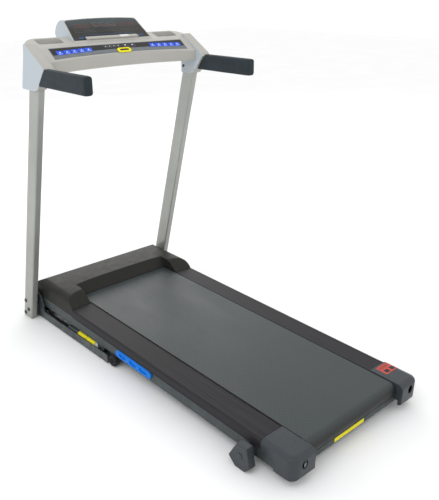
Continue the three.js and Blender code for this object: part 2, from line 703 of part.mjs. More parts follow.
function consoleSide(inset) {
  const { y, z } = CONSOLE_BACK;
  return [[1060, stripHeight(1060) - inset], [CONSOLE_KNEE.y, CONSOLE_KNEE.z - inset],
    [y - 4, z - 1.5 - inset], [y + 4, z - 8 - inset], [y + 10, 1054], [1098, 1007], [1060, 1002]];
}

// A wing drops along each upright and closes round its top.
const WING_OUTLINE = [[1062, 1026], [1072, 1038], [1156, 1088.5], [1178, 1102], [1184, 1101],
  [1192, 1062], [1222, 961], [1220, 955], [1142, 953], [1119, 959], [1108, 970]];

function consoleWing() {
  const shell = prismX(WING_OUTLINE, WING_IN, CONSOLE_OUT);
  const innerFoot = box(WING_IN - 1, UPRIGHT_IN - 0.7, 1000, 1300, 900, 970);
  const frontCorner = prismZ([[310, 1189], [317, 1189], [343, 1222], [343, 1240], [310, 1240]], 940, 1110);
  return cutAway(shell, [innerFoot, frontCorner]);
}

// A rounded tray hollow in the console's rear slope.
function trayBlock(grow, floor) {
  const outline = roundedRectangle(200 - grow, 296 + grow, 1186 - grow, 1226 + grow, 8, 3);
  return prismZ(outline, floor, 1140);
}

// A flat outline of (x, s) points, where s runs up the keypad's slope from the strip's front
// line, made into a plate between the heights n0 and n1 above that slope.
function onStrip(points, n0, n1, holes = []) {
  return prismZ(points, n0, n1, holes)
    .rotate([THREE.MathUtils.radToDeg(STRIP_TILT), 0, 0])
    .translate([0, STRIP_FRONT.y, STRIP_FRONT.z]);
}

function stripOutline(grow) {
  const half = 284 + grow;
  const low = [];
  const high = [];
  for (let i = 0; i <= 12; i += 1) {
    const x = -half + 2 * half * i / 12;
    const bow = 11 * (1 - (x / half) ** 2);
    low.push([x, 3 + bow - grow]);
    high.push([x, 57 + bow * 0.2 + grow]);
  }
  return low.concat(high.reverse());
}

function consoleHousing() {
  const bar = prismX(consoleSide(0), -CONSOLE_OUT, CONSOLE_OUT);
  const body = bar.intersect(prismZ(consolePlan(0, CONSOLE_OUT), 990, 1130));
  const wing = consoleWing();
  const socket = uprightCore(0.6, UPRIGHT_TOP + 4);
  const barHole = box(BAR.in - 0.4, BAR.out + 0.4, 1000, 1180, BAR.low - 0.4, BAR.top + 0.4);
  const inside = prismX(consoleSide(3.5), -300, 300).intersect(prismZ(consolePlan(4, 300), 990, 1130));
  const under = inside.translate([0, 0, -1]).add(inside.translate([0, 0, -14]));
  const trays = trayBlock(3.5, 1078);
  const cavity = cutAway(under.add(inside), [trays, mirrored(trays)]);
  const trayHollow = trayBlock(0, 1081.5);
  const recess = onStrip(stripOutline(0.4), -1.2, 10);
  return cutAway(unite([body, wing, mirrored(wing)]), [socket, mirrored(socket), barHole,
    mirrored(barHole), cavity, trayHollow, mirrored(trayHollow), recess]);
}

function consoleBaseCover() {
  const outline = [[1060, 1002], [1098, 1007], [1248, 1054], [1248, 1058], [1098, 1011], [1060, 1006]];
  return prismX(outline, -299, 299).intersect(prismZ(consolePlan(4.5, 299), 990, 1130));
}

function keypadStrip() {
  return onStrip(stripOutline(0), -0.9, 0.8);
}

function keySocket() {
  const outer = roundedRectangle(-29, 29, 9.5, 31.5, 10.9, 6);
  const slot = roundedRectangle(-19.5, 19.5, 16, 25, 4.4, 4);
  return onStrip(outer, 1.1, 5.6, [slot]);
}

function safetyKey() {
  return onStrip(roundedRectangle(-19, 19, 16.5, 24.5, 3.9, 4), 1.2, 5);
}

// ---------------------------------------------------------------- display pod

// Places a solid built on a level face, with X across and Y up the face, on the pod's slope.
function onPod(solid) {
  return solid
    .rotate([THREE.MathUtils.radToDeg(POD_TILT), 0, 0])
    .translate([0, POD_FOOT.y, POD_FOOT.z]);
}

// The display's outline on the pod's face, with X across and Y up the slope.
function podFace(inset) {
  const half = POD_HALF - inset;
  const top = [[half, POD_FACE - 9 - inset]];
  for (let i = 0; i <= 8; i += 1) {
    const x = (half - 5) * (1 - i / 4);
    top.push([x, POD_FACE - inset + 7 * (1 - (x / half) ** 2)]);
  }
  const foot = POD_FOOT_HALF - inset;
  return [[-foot, inset], [foot, inset], ...top, [-half, POD_FACE - 9 - inset]];
}

function podSide(inset) {
  return [[1160, 1079.4 - inset], [1271.5, 1168.3 - inset], [1284, 1166.5 - inset],
    [1300 - inset / 2, 1156 - inset], [1310 - inset, 1143 - inset / 2], [1314 - inset, 1130],
    [1314 - inset, 1118], [1300, 1102 + inset], [1252, 1089 + inset], [1230, 1080 + inset],
    [1160, 1050]];
}

function podFront(inset) {
  const half = POD_HALF - inset;
  const foot = POD_FOOT_HALF - inset;
  const corner = [[foot, POD_FOOT.z], [half, 1157 - inset], [half - 2, 1161.5 - inset]];
  const top = [];
  for (let i = 0; i <= 8; i += 1) {
    const x = (half - 6) * (1 - i / 4);
    top.push([x, 1164 - inset + 4.4 * (1 - (x / half) ** 2)]);
  }
  const left = corner.map(([x, z]) => [-x, z]).reverse();
  return [[-foot, 1040], [foot, 1040], ...corner, ...top, ...left];
}

function podShape(inset) {
  return prismX(podSide(inset), -170, 170).intersect(prismY(podFront(inset), 1100, 1400));
}

// What the console takes up below the pod, with a little air.
function underPod() {
  return prismX([[1140, 1040], [1140, 1074.2], [CONSOLE_KNEE.y, CONSOLE_KNEE.z + GAP],
    [1234, 1112.9], [1242.8, 1106.6], [1249, 1054], [1249, 1040]], -175, 175);
}

// The pod's front shell, open behind, standing on the console's rear slope.
function displayHousing() {
  const frontHalf = onPod(box(-170, 170, -30, 150, -26, 20));
  const hollow = podShape(4).subtract(onPod(box(-170, 170, -40, 150, -4.5, 20)));
  const lensSeat = onPod(prismZ(podFace(3), -2, 20));
  const wireWay = onPod(box(-20, 20, 55, 75, -20, 10));
  return cutAway(podShape(0).intersect(frontHalf), [hollow, lensSeat, wireWay, underPod()]);
}

function displayBack() {
  const rearHalf = onPod(box(-170, 170, -30, 150, -160, -26.3));
  return cutAway(podShape(0).intersect(rearHalf), [podShape(4), underPod()]);
}

function displayPanel() {
  const ledgeSeat = box(-112, 112, -5, 22, -5, 20);
  return onPod(prismZ(podFace(3.4), -1.7, 0.6).subtract(ledgeSeat));
}

// The shelf lip across the foot of the display, which holds a book or a phone.
function bookLedge() {
  const outline = [[4, -1.7], [20, -1.7], [20, 1.4], [11, 2.4], [8.6, 6], [4, 6]];
  return onPod(prismX(outline, -110, 110));
}

function circuitBoard() {
  return onPod(box(-130, 130, 40, 98, -14, -12.4));
}

// ---------------------------------------------------------------- handlebars

function handlebar() {
  const wall = 2;
  const outline = rectangle(BAR.in, BAR.out, BAR.low, BAR.top);
  const hole = rectangle(BAR.in + wall, BAR.out - wall, BAR.low + wall, BAR.top - wall);
  return prismY(outline, BAR.rear, 1160, [hole]).subtract(uprightCore(GAP, UPRIGHT_TOP + 20));
}

function foamGrip() {
  const sleeve = prismY(roundedRectangle(GRIP.in, GRIP.out, GRIP.low, GRIP.top, 8, 4), GRIP.rear, 1120);
  const bore = box(BAR.in - GAP, BAR.out + GAP, BAR.rear - GAP, 1200, BAR.low - GAP, BAR.top + GAP);
  const wingSide = prismX(WING_OUTLINE, 310, 370).translate([0, -0.6, 0]);
  return cutAway(sleeve, [bore, wingSide]);
}

// ---------------------------------------------------------------- the assembly

place('base_frame', baseFrame(), 'black_steel');
placePair('floor_pad_front', floorPad(1385, 1408), 'rubber');
placePair('floor_pad_rear', floorPad(896, 924), 'rubber');
placePair('transport_wheel', transportWheel(), 'rubber');
placePair('wheel_bolt', wheelBolt(), 'bright_steel');
placePair('upright', upright(), 'silver_paint');
placePair('upright_bolts', uprightBolts(), 'black_steel');
placePair('hinge_pin', hingePin(), 'bright_steel');
placePair('handlebar', handlebar(), 'black_steel');
placePair('foam_grip', foamGrip(), 'foam');

place('console_housing', consoleHousing(), 'console_plastic');
place('console_base_cover', consoleBaseCover(), 'console_plastic');
place('keypad_strip', keypadStrip(), 'keypad');
place('safety_key_socket', keySocket(), 'yellow_plastic');
place('safety_key', safetyKey(), 'dark_plastic');
place('display_housing', displayHousing(), 'console_plastic');
place('display_back', displayBack(), 'console_plastic');
place('display_panel', displayPanel(), 'lens');
place('book_ledge', bookLedge(), 'console_plastic');
place('circuit_board', circuitBoard(), 'circuit');

place('deck_frame', deckFrame(), 'black_steel', deck);
place('running_board', runningBoard(), 'board', deck);
place('running_belt', runningBelt(), 'belt', deck);
place('rear_roller', rearRoller(), 'bright_steel', deck);
place('rear_axle', rearAxle(), 'bright_steel', deck);
place('front_roller', frontRoller(), 'bright_steel', deck);
place('front_axle', frontAxle(), 'bright_steel', deck);
placePair('roller_adjuster', rollerAdjuster(), 'bright_steel', deck);
place('drive_motor', driveMotor(), 'motor_paint', deck);
place('motor_flywheel', motorFlywheel(), 'bright_steel', deck);
place('drive_belt', driveBelt(), 'rubber', deck);
place('motor_controller', motorController(), 'motor_paint', deck);
place('motor_hood', motorHood(), 'dark_plastic', deck);
place('belly_pan', bellyPan(), 'dark_plastic', deck);
placePair('foot_rail', footRail(), 'rail_plastic', deck);
placePair('rear_cap', rearCap(), 'cap_plastic', deck);
placePair('side_insert', sideInsert(), 'blue_plastic', deck);
place('power_inlet', powerInlet(), 'dark_plastic', deck);
place('power_rocker', powerRocker(), 'dark_plastic', rocker);

place('rear_foot_right', rearFoot(INBOARD_FOOT), 'cap_plastic');
place('rear_foot_left', rearFoot(OUTBOARD_FOOT), 'cap_plastic').scale.x = -1;
place('foot_bolt_right', footBolt(INBOARD_FOOT), 'bright_steel');
place('foot_bolt_left', footBolt(OUTBOARD_FOOT), 'bright_steel').scale.x = -1;
place('strut_pin', strutPin(), 'bright_steel');
place('strut_cylinder', strutCylinder(), 'black_steel', strut);
place('strut_rod', strutRod(), 'bright_steel', strut);

export default treadmill;
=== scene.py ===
"""Looks of a folding treadmill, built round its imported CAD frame.

Sizes are in millimetres in the treadmill's own two frames, the standing one and the sloping deck's,
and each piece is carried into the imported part's frame, in metres, by one matrix.
"""

import math
import random

import bmesh
import bpy
from mathutils import Matrix, Vector


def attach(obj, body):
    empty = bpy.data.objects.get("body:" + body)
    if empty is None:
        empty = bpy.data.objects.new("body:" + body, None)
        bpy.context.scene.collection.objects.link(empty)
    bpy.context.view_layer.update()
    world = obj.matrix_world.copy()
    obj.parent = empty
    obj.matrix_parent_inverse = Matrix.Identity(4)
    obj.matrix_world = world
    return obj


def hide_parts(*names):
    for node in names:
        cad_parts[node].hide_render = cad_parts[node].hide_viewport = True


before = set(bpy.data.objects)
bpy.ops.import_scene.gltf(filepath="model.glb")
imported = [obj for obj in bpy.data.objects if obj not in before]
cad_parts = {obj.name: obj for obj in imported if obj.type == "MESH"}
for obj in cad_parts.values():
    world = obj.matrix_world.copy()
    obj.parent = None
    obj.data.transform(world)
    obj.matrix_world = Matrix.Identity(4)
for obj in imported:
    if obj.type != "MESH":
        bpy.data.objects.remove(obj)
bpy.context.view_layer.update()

# ---------------- frames and driving dimensions

MM = 0.001
LENGTH = 1460
SLOPE = math.atan(0.0235)
TURN_Z = 62

STANDING = Matrix.Diagonal((MM, MM, MM, 1)) @ Matrix.Translation((0, -LENGTH / 2, 0))
DECK = (
    STANDING
    @ Matrix.Translation((0, TURN_Z * math.sin(SLOPE), TURN_Z * (1 - math.cos(SLOPE))))
    @ Matrix.Rotation(SLOPE, 4, "X")
)
STRIP_TILT = math.atan(0.7221)
STRIP_Y, STRIP_Z = 1107.3, 1050.2
STRIP_PLACE = Matrix.Translation((0, STRIP_Y, STRIP_Z)) @ Matrix.Rotation(STRIP_TILT, 4, "X")
STRIP = STANDING @ STRIP_PLACE
POD_TILT = math.atan(66.6 / 83.6)
POD_PLACE = Matrix.Translation((0, 1182.9, 1097.6)) @ Matrix.Rotation(POD_TILT, 4, "X")
POD = STANDING @ POD_PLACE

BELT_HALF = 210
ROLLER_R = 25
ROLLER_Z = 71
ROLLER_YS = (50, 1238)
RAIL_IN = 214.5
RAIL_OUT = 300.9
RAIL_YS = (127.4, 1135)
SKIRT_Z = 63.4
HOOD_HALF = 298
HOOD_FRONT = 1440
CAP_IN = 214
CAP_OUT = 305.5
CAP_DEPTH = 127
CAP_LOWER_DEPTH = 76
ADJUSTER_X = 260
FOOT_Y, FOOT_Z = 166, 46
FOOT_SPANS = (("right", (306, 318)), ("left", (320, 346.5)))
WHEEL_Y, WHEEL_Z, WHEEL_R = 866, 21.8, 21
UPRIGHT_IN = 321.9
UPRIGHT_OUT = 348.4
UPRIGHT_DEPTH = 61.2
UPRIGHT_FOOT_Y = 1425.7
UPRIGHT_LEAN = math.atan(0.2794)
UPRIGHT_TOP = 1015
UPRIGHT_BOLTS = ((1424, 76), (1408, 40), (1438, 17))
CONSOLE_OUT = 356
WING_IN = 317
POD_HALF = 156
POD_FOOT_HALF = 166
TRAY = (200, 296, 1186, 1226)
STRIP_HALF = 284
BAR_X = (333, 351)
BAR_Z = (980, 1023)
GRIP_X = (326.8, 357.8)
GRIP_Z = (972, 1030.5)
GRIP_REAR = 822.9
STRUT_X = -290
STRUT_DECK_PIN = (955, 30)
STRUT_BASE_PIN = (1352, 24)


# ---------------- material helpers

class Shader:
    """A node material built from an object-space texture, one small step at a time."""

    def __init__(self, name, color, roughness, metallic=0.0):
        self.color = color
        self.material = bpy.data.materials.new(name)
        self.material.use_nodes = True
        self.tree = self.material.node_tree
        self.surface = self.tree.nodes["Principled BSDF"]
        self.surface.inputs["Base Color"].default_value = (*color, 1)
        self.surface.inputs["Roughness"].default_value = roughness
        self.surface.inputs["Metallic"].default_value = metallic
        self.place = self.node("ShaderNodeTexCoord").outputs["Object"]
        self.normal = None

    def node(self, kind, **settings):
        made = self.tree.nodes.new(kind)
        for key, value in settings.items():
            setattr(made, key, value)
        return made

    def link(self, source, target):
        self.tree.links.new(source, target)

    def mapped(self, scale=(1, 1, 1), degrees=(0, 0, 0)):
        """The object's own coordinates, stretched along its axes or turned about them."""
        mapping = self.node("ShaderNodeMapping")
        mapping.inputs["Rotation"].default_value = [math.radians(d) for d in degrees]
        mapping.inputs["Scale"].default_value = scale
        self.link(self.place, mapping.inputs["Vector"])
        return mapping.outputs["Vector"]

    def noise(self, scale, detail=3, vector=None, contrast=0.5):
        texture = self.node("ShaderNodeTexNoise")
        texture.inputs["Scale"].default_value = scale
        texture.inputs["Detail"].default_value = detail
        texture.inputs["Roughness"].default_value = contrast
        self.link(vector or self.place, texture.inputs["Vector"])
        return texture.outputs["Fac"]

    def cells(self, scale, feature="F1"):
        texture = self.node("ShaderNodeTexVoronoi", feature=feature)
        texture.inputs["Scale"].default_value = scale
        self.link(self.place, texture.inputs["Vector"])
        return texture.outputs["Distance"]

    def bands(self, scale, direction, vector=None, profile="SIN", distortion=0):
        texture = self.node("ShaderNodeTexWave", bands_direction=direction, wave_profile=profile)
        texture.inputs["Scale"].default_value = scale
        texture.inputs["Distortion"].default_value = distortion
        self.link(vector or self.place, texture.inputs["Vector"])
        return texture.outputs["Fac"]

    def math(self, operation, first, second=0):
        step = self.node("ShaderNodeMath", operation=operation)
        for socket, value in zip(step.inputs, (first, second)):
            if isinstance(value, (int, float)):
                socket.default_value = value
            else:
                self.link(value, socket)
        return step.outputs["Value"]

    def spread(self, value, low, high, start=0.3, end=0.7):
        remap = self.node("ShaderNodeMapRange")
        limits = {"From Min": start, "From Max": end, "To Min": low, "To Max": high}
        for key, number in limits.items():
            remap.inputs[key].default_value = number
        self.link(value, remap.inputs["Value"])
        return remap.outputs["Result"]

    def blend(self, value, low, high, start=0.35, end=0.65):
        """A colour that runs from low to high with the value."""
        ramp = self.node("ShaderNodeValToRGB")
        for stop, position, color in zip(ramp.color_ramp.elements, (start, end), (low, high)):
            stop.position = position
            stop.color = (*color, 1)
        self.link(value, ramp.inputs["Fac"])
        return ramp.outputs["Color"]

    def over(self, below, above, amount):
        """One colour over another; the upper one may be a plain tint."""
        mix = self.node("ShaderNodeMix", data_type="RGBA")
        below_socket, above_socket, result = mix.inputs[6], mix.inputs[7], mix.outputs[2]
        self.link(amount, mix.inputs["Factor"])
        self.link(below, below_socket)
        if isinstance(above, (tuple, list)):
            above_socket.default_value = (*above, 1)
        else:
            self.link(above, above_socket)
        return result

    def mottle(self, scale, amount, detail=4):
        dark = [c * (1 - amount) for c in self.color]
        light = [min(1, c * (1 + amount)) for c in self.color]
        return self.blend(self.noise(scale, detail), dark, light)

    def paint(self, color):
        self.link(color, self.surface.inputs["Base Color"])

    def rough(self, value):
        self.link(value, self.surface.inputs["Roughness"])

    def bump(self, height, depth, strength=1.0):
        bump = self.node("ShaderNodeBump")
        bump.inputs["Distance"].default_value = depth
        bump.inputs["Strength"].default_value = strength
        self.link(height, bump.inputs["Height"])
        if self.normal:
            self.link(self.normal, bump.inputs["Normal"])
        self.normal = bump.outputs["Normal"]
        self.link(self.normal, self.surface.inputs["Normal"])

    def set(self, **sockets):
        for key, value in sockets.items():
            self.surface.inputs[key.replace("_", " ")].default_value = value

    def edge_wear(self, below, tint, amount):
        """Convex edges, rubbed a little lighter in patches."""
        pointiness = self.node("ShaderNodeNewGeometry").outputs["Pointiness"]
        edges = self.spread(pointiness, 0, 1, 0.51, 0.58)
        patches = self.spread(self.noise(60, 5), 0, amount, 0.45, 0.65)
        return self.over(below, tint, self.math("MULTIPLY", edges, patches))

    def part_of(self, vector, axis):
        split = self.node("ShaderNodeSeparateXYZ")
        self.link(vector, split.inputs["Vector"])
        return split.outputs[axis]

    def facing(self, axis):
        """How squarely a surface faces along one of the object's own axes, from -1 to 1."""
        return self.part_of(self.node("ShaderNodeTexCoord").outputs["Normal"], axis)

    def across(self, axis):
        """The place along one of the object's own axes, in metres."""
        return self.part_of(self.place, axis)


# ---------------- materials

# Where the painted cool side light is left off: a band round the trays, given by its middle and half
# width across, in metres.
UNTINTED_MIDDLE = 0.245
UNTINTED_HALF = 0.054


def moulded(name, color, roughness, mottling=0.05, wear=0.25, shine=0.3, side=None):
    """Injection-moulded plastic: a fine spark-eroded grain, slight flow marks and rubbed edges.

    A cool side colour, as painted cool light from the sides, tints the faces that look left or right,
    except in a band round the console's trays.
    """
    shader = Shader(name, color, roughness)
    base = shader.mottle(9, mottling)
    if side:
        # Painted cool light: faces that look left or right take the side colour.
        side_light = shader.spread(shader.math("ABSOLUTE", shader.facing("X")), 0, 1, 0.35, 0.85)
        reach = shader.math("ABSOLUTE", shader.across("X"))
        off_tray = shader.math("SUBTRACT", reach, UNTINTED_MIDDLE)
        outside = shader.spread(shader.math("ABSOLUTE", off_tray), 0, 1, UNTINTED_HALF, 0.06)
        base = shader.over(base, side, shader.math("MULTIPLY", side_light, outside))
    tint = [min(1, c * 1.35 + 0.02) for c in color]
    shader.paint(shader.edge_wear(base, tint, wear))
    shader.rough(shader.spread(shader.noise(35, 5), roughness - 0.04, roughness + 0.05))
    shader.bump(shader.noise(700, 2, contrast=0.7), 0.00005, 0.6)
    shader.bump(shader.noise(6, 2), 0.0004, 0.25)
    shader.set(Specular_IOR_Level=shine)
    return shader.material


def powder_coat(name, color, roughness):
    """Powder-coated steel with a soft orange peel and chipped edges."""
    shader = Shader(name, color, roughness, 0.25)
    shader.paint(shader.edge_wear(shader.mottle(14, 0.14), (0.2, 0.2, 0.2), 0.3))
    shader.rough(shader.spread(shader.noise(50, 4), roughness - 0.08, roughness + 0.1))
    shader.bump(shader.cells(260, "SMOOTH_F1"), 0.0002, 0.4)
    shader.set(Specular_IOR_Level=0.35)
    return shader.material


def rail_plastic():
    """Extruded foot rail: fine lines drawn along its length and a satin sheen."""
    shader = Shader("rail_plastic", (0.021, 0.0195, 0.022), 0.5)
    lines = shader.noise(1, 5, shader.mapped((190, 1.2, 190)), 0.65)
    shader.paint(shader.blend(lines, (0.014, 0.013, 0.015), (0.028, 0.026, 0.029), 0.35, 0.65))
    shader.rough(shader.spread(lines, 0.44, 0.58))
    shader.bump(lines, 0.0001, 0.6)
    shader.set(Specular_IOR_Level=0.17)
    return shader.material


def silver_paint():
    """Metallic paint: fine flakes under a satin coat, a little darker and warmer lower down."""
    shader = Shader("silver_paint", (0.33, 0.342, 0.32), 0.36, 0.4)
    flakes = shader.blend(shader.cells(2600), (0.27, 0.28, 0.262), (0.42, 0.43, 0.41), 0.1, 0.7)
    clouds = shader.blend(shader.noise(5, 4), (0.29, 0.3, 0.28), (0.36, 0.37, 0.345))
    paint = shader.over(clouds, flakes, shader.spread(shader.noise(900, 2), 0.15, 0.5))
    # Darker and warmer towards the bottom.
    lowness = shader.spread(shader.across("Z"), 0.5, 0, 0.02, 0.55)
    shader.paint(shader.over(paint, (0.24, 0.235, 0.2), lowness))
    shader.rough(shader.spread(shader.noise(22, 5), 0.3, 0.44))
    shader.bump(shader.noise(320, 3), 0.00008)
    shader.set(Coat_Weight=0.25, Coat_Roughness=0.3)
    return shader.material


def belt_cloth():
    """A running belt: a pressed diamond pattern over woven backing, scuffed down the middle, with
    painted shade where it wraps round the rollers.
    """
    shader = Shader("belt", (0.036, 0.045, 0.047), 0.48)
    rising = shader.bands(42, "X", shader.mapped(degrees=(0, 0, 45)))
    falling = shader.bands(42, "X", shader.mapped(degrees=(0, 0, -45)))
    diamonds = shader.math("MULTIPLY", rising, falling)
    tone = shader.blend(diamonds, (0.028, 0.036, 0.038), (0.044, 0.054, 0.056), 0.1, 0.8)
    scuffs = shader.noise(7, 6, shader.mapped((1.6, 0.35, 1)), 0.65)
    worn = shader.blend(scuffs, (0.03, 0.038, 0.04), (0.05, 0.061, 0.063), 0.35, 0.7)
    top = shader.over(tone, worn, shader.spread(shader.noise(3, 3), 0.15, 0.5))
    # Painted shade: the belt darkens where it turns away from facing up, round the rollers and
    # underneath.
    wrap_shade = shader.spread(shader.facing("Z"), 0.9, 0, 0.35, 0.98)
    shader.paint(shader.over(top, (0.01, 0.0095, 0.009), wrap_shade))
    shader.rough(shader.spread(scuffs, 0.4, 0.52))
    shader.bump(diamonds, 0.0003, 0.6)
    shader.bump(shader.noise(1200, 2), 0.0001, 0.6)
    shader.set(Specular_IOR_Level=0.34)
    return shader.material


def foam():
    """Closed-cell foam: open pits in a soft skin."""
    shader = Shader("foam", (0.02, 0.029, 0.036), 0.85)
    pits = shader.cells(620)
    base = shader.blend(pits, (0.012, 0.017, 0.021), (0.025, 0.036, 0.043), 0.15, 0.75)
    patches = shader.spread(shader.noise(40, 3), 0.2, 0.6)
    shader.paint(shader.over(base, shader.mottle(25, 0.25), patches))
    shader.rough(shader.spread(shader.noise(90, 3), 0.76, 0.93))
    shader.bump(pits, 0.0007, 0.7)
    shader.bump(shader.noise(110, 4), 0.0006, 0.5)
    shader.set(Sheen_Weight=0.08, Sheen_Roughness=0.5, Specular_IOR_Level=0.25)
    return shader.material


def tyre_rubber():
    shader = Shader("rubber", (0.012, 0.012, 0.013), 0.8)
    shader.paint(shader.mottle(70, 0.35))
    shader.rough(shader.spread(shader.noise(60, 4), 0.7, 0.9))
    shader.bump(shader.noise(700, 3), 0.0002)
    return shader.material


def fibreboard():
    """Phenolic-faced board with its fibres just showing, nearly black as painted shade of the narrow
    gap beside the belt where its edge shows.
    """
    # Nearly black: painted shade of the gap between belt and foot rail, where the board's edge shows.
    shader = Shader("board", (0.018, 0.015, 0.012), 0.55)
    fibres = shader.noise(240, 6, shader.mapped((1, 0.25, 1)), 0.7)
    shader.paint(shader.blend(fibres, (0.01, 0.009, 0.008), (0.03, 0.024, 0.018), 0.3, 0.7))
    shader.bump(fibres, 0.0002)
    return shader.material


def bright_steel():
    """Zinc-plated, turned steel, brushed round its axis."""
    shader = Shader("bright_steel", (0.5, 0.51, 0.52), 0.3, 1.0)
    lines = shader.noise(60, 4, shader.mapped((40, 1, 1)), 0.6)
    shader.paint(shader.blend(lines, (0.4, 0.41, 0.42), (0.6, 0.61, 0.62)))
    shader.rough(shader.spread(lines, 0.22, 0.42))
    shader.bump(lines, 0.00005)
    return shader.material


def lens():
    """A smoked acrylic window, faintly dusty, with a painted cool reflection lightening it towards its
    top.
    """
    shader = Shader("lens", (0.022, 0.024, 0.024), 0.3)
    cloud = shader.blend(shader.noise(12, 4), (0.016, 0.015, 0.0135), (0.034, 0.032, 0.029))
    # Painted reflection: the window turns lighter and cooler towards its top.
    height = shader.spread(shader.across("Z"), 0, 0.8, 1.13, 1.166)
    shader.paint(shader.over(cloud, (0.06, 0.085, 0.095), height))
    shader.rough(shader.spread(shader.noise(40, 5), 0.22, 0.4))
    shader.bump(shader.noise(300, 2), 0.00002)
    shader.set(Specular_IOR_Level=0.2, Coat_Weight=0.05, Coat_Roughness=0.15)
    return shader.material


def overlay(name, color, roughness):
    """Printed and embossed polyester film."""
    shader = Shader(name, color, roughness)
    shader.paint(shader.mottle(30, 0.08))
    shader.rough(shader.spread(shader.noise(55, 4), roughness - 0.07, roughness + 0.09))
    shader.bump(shader.noise(1500, 2), 0.00005)
    shader.set(Specular_IOR_Level=0.2)
    return shader.material


def circuit():
    shader = Shader("circuit", (0.014, 0.1, 0.035), 0.4)
    tracks = shader.bands(60, "X", profile="SAW", distortion=4)
    shader.paint(shader.blend(tracks, (0.01, 0.08, 0.028), (0.03, 0.17, 0.06), 0.45, 0.55))
    shader.bump(tracks, 0.0001)
    return shader.material


def floor_paint():
    shader = Shader("studio_floor", (0.9, 0.9, 0.9), 0.8)
    shader.paint(shader.blend(shader.noise(2, 3), (0.89, 0.89, 0.89), (0.91, 0.91, 0.91)))
    return shader.material


CAP_TONE = ((0.036, 0.043, 0.049), 0.34)
MATERIALS = {
    "black_steel": powder_coat("black_steel", (0.05, 0.061, 0.063), 0.42),
    "silver_paint": silver_paint(),
    # The console's side colour is painted cool light on its faces that look left or right.
    "console_plastic": moulded("console_plastic", (0.41, 0.398, 0.368), 0.42, 0.02, wear=0.1,
                               side=(0.44, 0.49, 0.53)),
    "dark_plastic": moulded("dark_plastic", (0.021, 0.0205, 0.0175), 0.48, 0.03, shine=0.14),
    "rail_plastic": rail_plastic(),
    "cap_plastic": moulded("cap_plastic", *CAP_TONE, shine=0.28),
    "lens": lens(),
    "keypad": overlay("keypad", (0.15, 0.165, 0.175), 0.34),
    "blue_plastic": moulded("blue_plastic", (0.001, 0.165, 0.64), 0.36, wear=0.05, shine=0.15),
    "yellow_plastic": moulded("yellow_plastic", (0.8, 0.7, 0.01), 0.38, 0.04, 0.05, shine=0.2),
    "foam": foam(),
    "belt": belt_cloth(),
    "rubber": tyre_rubber(),
    "board": fibreboard(),
    "bright_steel": bright_steel(),
    "circuit": circuit(),
    "motor_paint": powder_coat("motor_paint", (0.028, 0.029, 0.032), 0.38),
}
FILMS = {name: overlay(name, color, roughness) for name, color, roughness in (
    ("dark_film", (0.02, 0.0195, 0.021), 0.32),
    ("blue_film", (0.02, 0.1, 0.75), 0.3),
    ("white_film", (0.75, 0.77, 0.78), 0.4),
    ("red_film", (0.52, 0.065, 0.05), 0.4),
    ("dim_red_film", (0.17, 0.045, 0.035), 0.3),
    ("dim_blue_film", (0.02, 0.09, 0.22), 0.3),
    ("dim_grey_film", (0.16, 0.17, 0.18), 0.3),
    ("pale_grey", (0.42, 0.43, 0.42), 0.4),
    ("black_zinc", (0.009, 0.0095, 0.01), 0.5),
)}
FILMS["cap_tone"] = moulded("cap_tone", *CAP_TONE, shine=0.28)


# ---------------- outlines

def spaced(start, end, steps):
    return [start + (end - start) * i / steps for i in range(steps + 1)]


def arc(a, b, radius, start, end, steps):
    turns = [math.radians(turn) for turn in spaced(start, end, steps)]
    return [(a + radius * math.cos(t), b + radius * math.sin(t)) for t in turns]


def rectangle(a0, a1, b0, b1):
    return [(a0, b0), (a1, b0), (a1, b1), (a0, b1)]


def rounded(a0, a1, b0, b1, radius, steps=5):
    corners = ((a1 - radius, b0 + radius, -90), (a1 - radius, b1 - radius, 0),
               (a0 + radius, b1 - radius, 90), (a0 + radius, b0 + radius, 180))
    points = []
    for a, b, start in corners:
        points += arc(a, b, radius, start, start + 90, steps)
    return points


def loop_outline(first, second, offset, steps=24):
    """Round two wheels, each given as (y, z, radius)."""
    dy, dz = second[0] - first[0], second[1] - first[1]
    heading = math.degrees(math.atan2(dz, dy))
    side = 90 - math.degrees(math.asin((first[2] - second[2]) / math.hypot(dy, dz)))
    front = arc(second[0], second[1], second[2] + offset, heading - side, heading + side, steps)
    rear = arc(first[0], first[1], first[2] + offset, heading + side, heading + 360 - side, steps)
    return front + rear


def mirrored(points):
    """The left half of an outline whose right half is given."""
    return [(-x, b) for x, b in reversed(points)]


def drawn_in(points, inset):
    """Points as (a, b, da, db): each moves by its own shares of an inset."""
    return [(a + inset * da, b + inset * db) for a, b, da, db in points]


# ---------------- solids, in millimetres

PLACES = {
    "X": lambda a, b, c: (c, a, b),
    "Y": lambda a, b, c: (a, c, b),
    "Z": lambda a, b, c: (a, b, c),
}


def prism(points, axis, low, high):
    """An outline across an axis, drawn out along it."""
    bm = bmesh.new()
    put = PLACES[axis]
    near = [bm.verts.new(put(a, b, low)) for a, b in points]
    far = [bm.verts.new(put(a, b, high)) for a, b in points]
    bm.faces.new(near)
    bm.faces.new(list(reversed(far)))
    for i in range(len(points)):
        j = (i + 1) % len(points)
        bm.faces.new((near[i], near[j], far[j], far[i]))
    bmesh.ops.recalc_face_normals(bm, faces=bm.faces)
    return bm


def block(x0, x1, y0, y1, z0, z1):
    return prism(rectangle(y0, y1, z0, z1), "X", x0, x1)


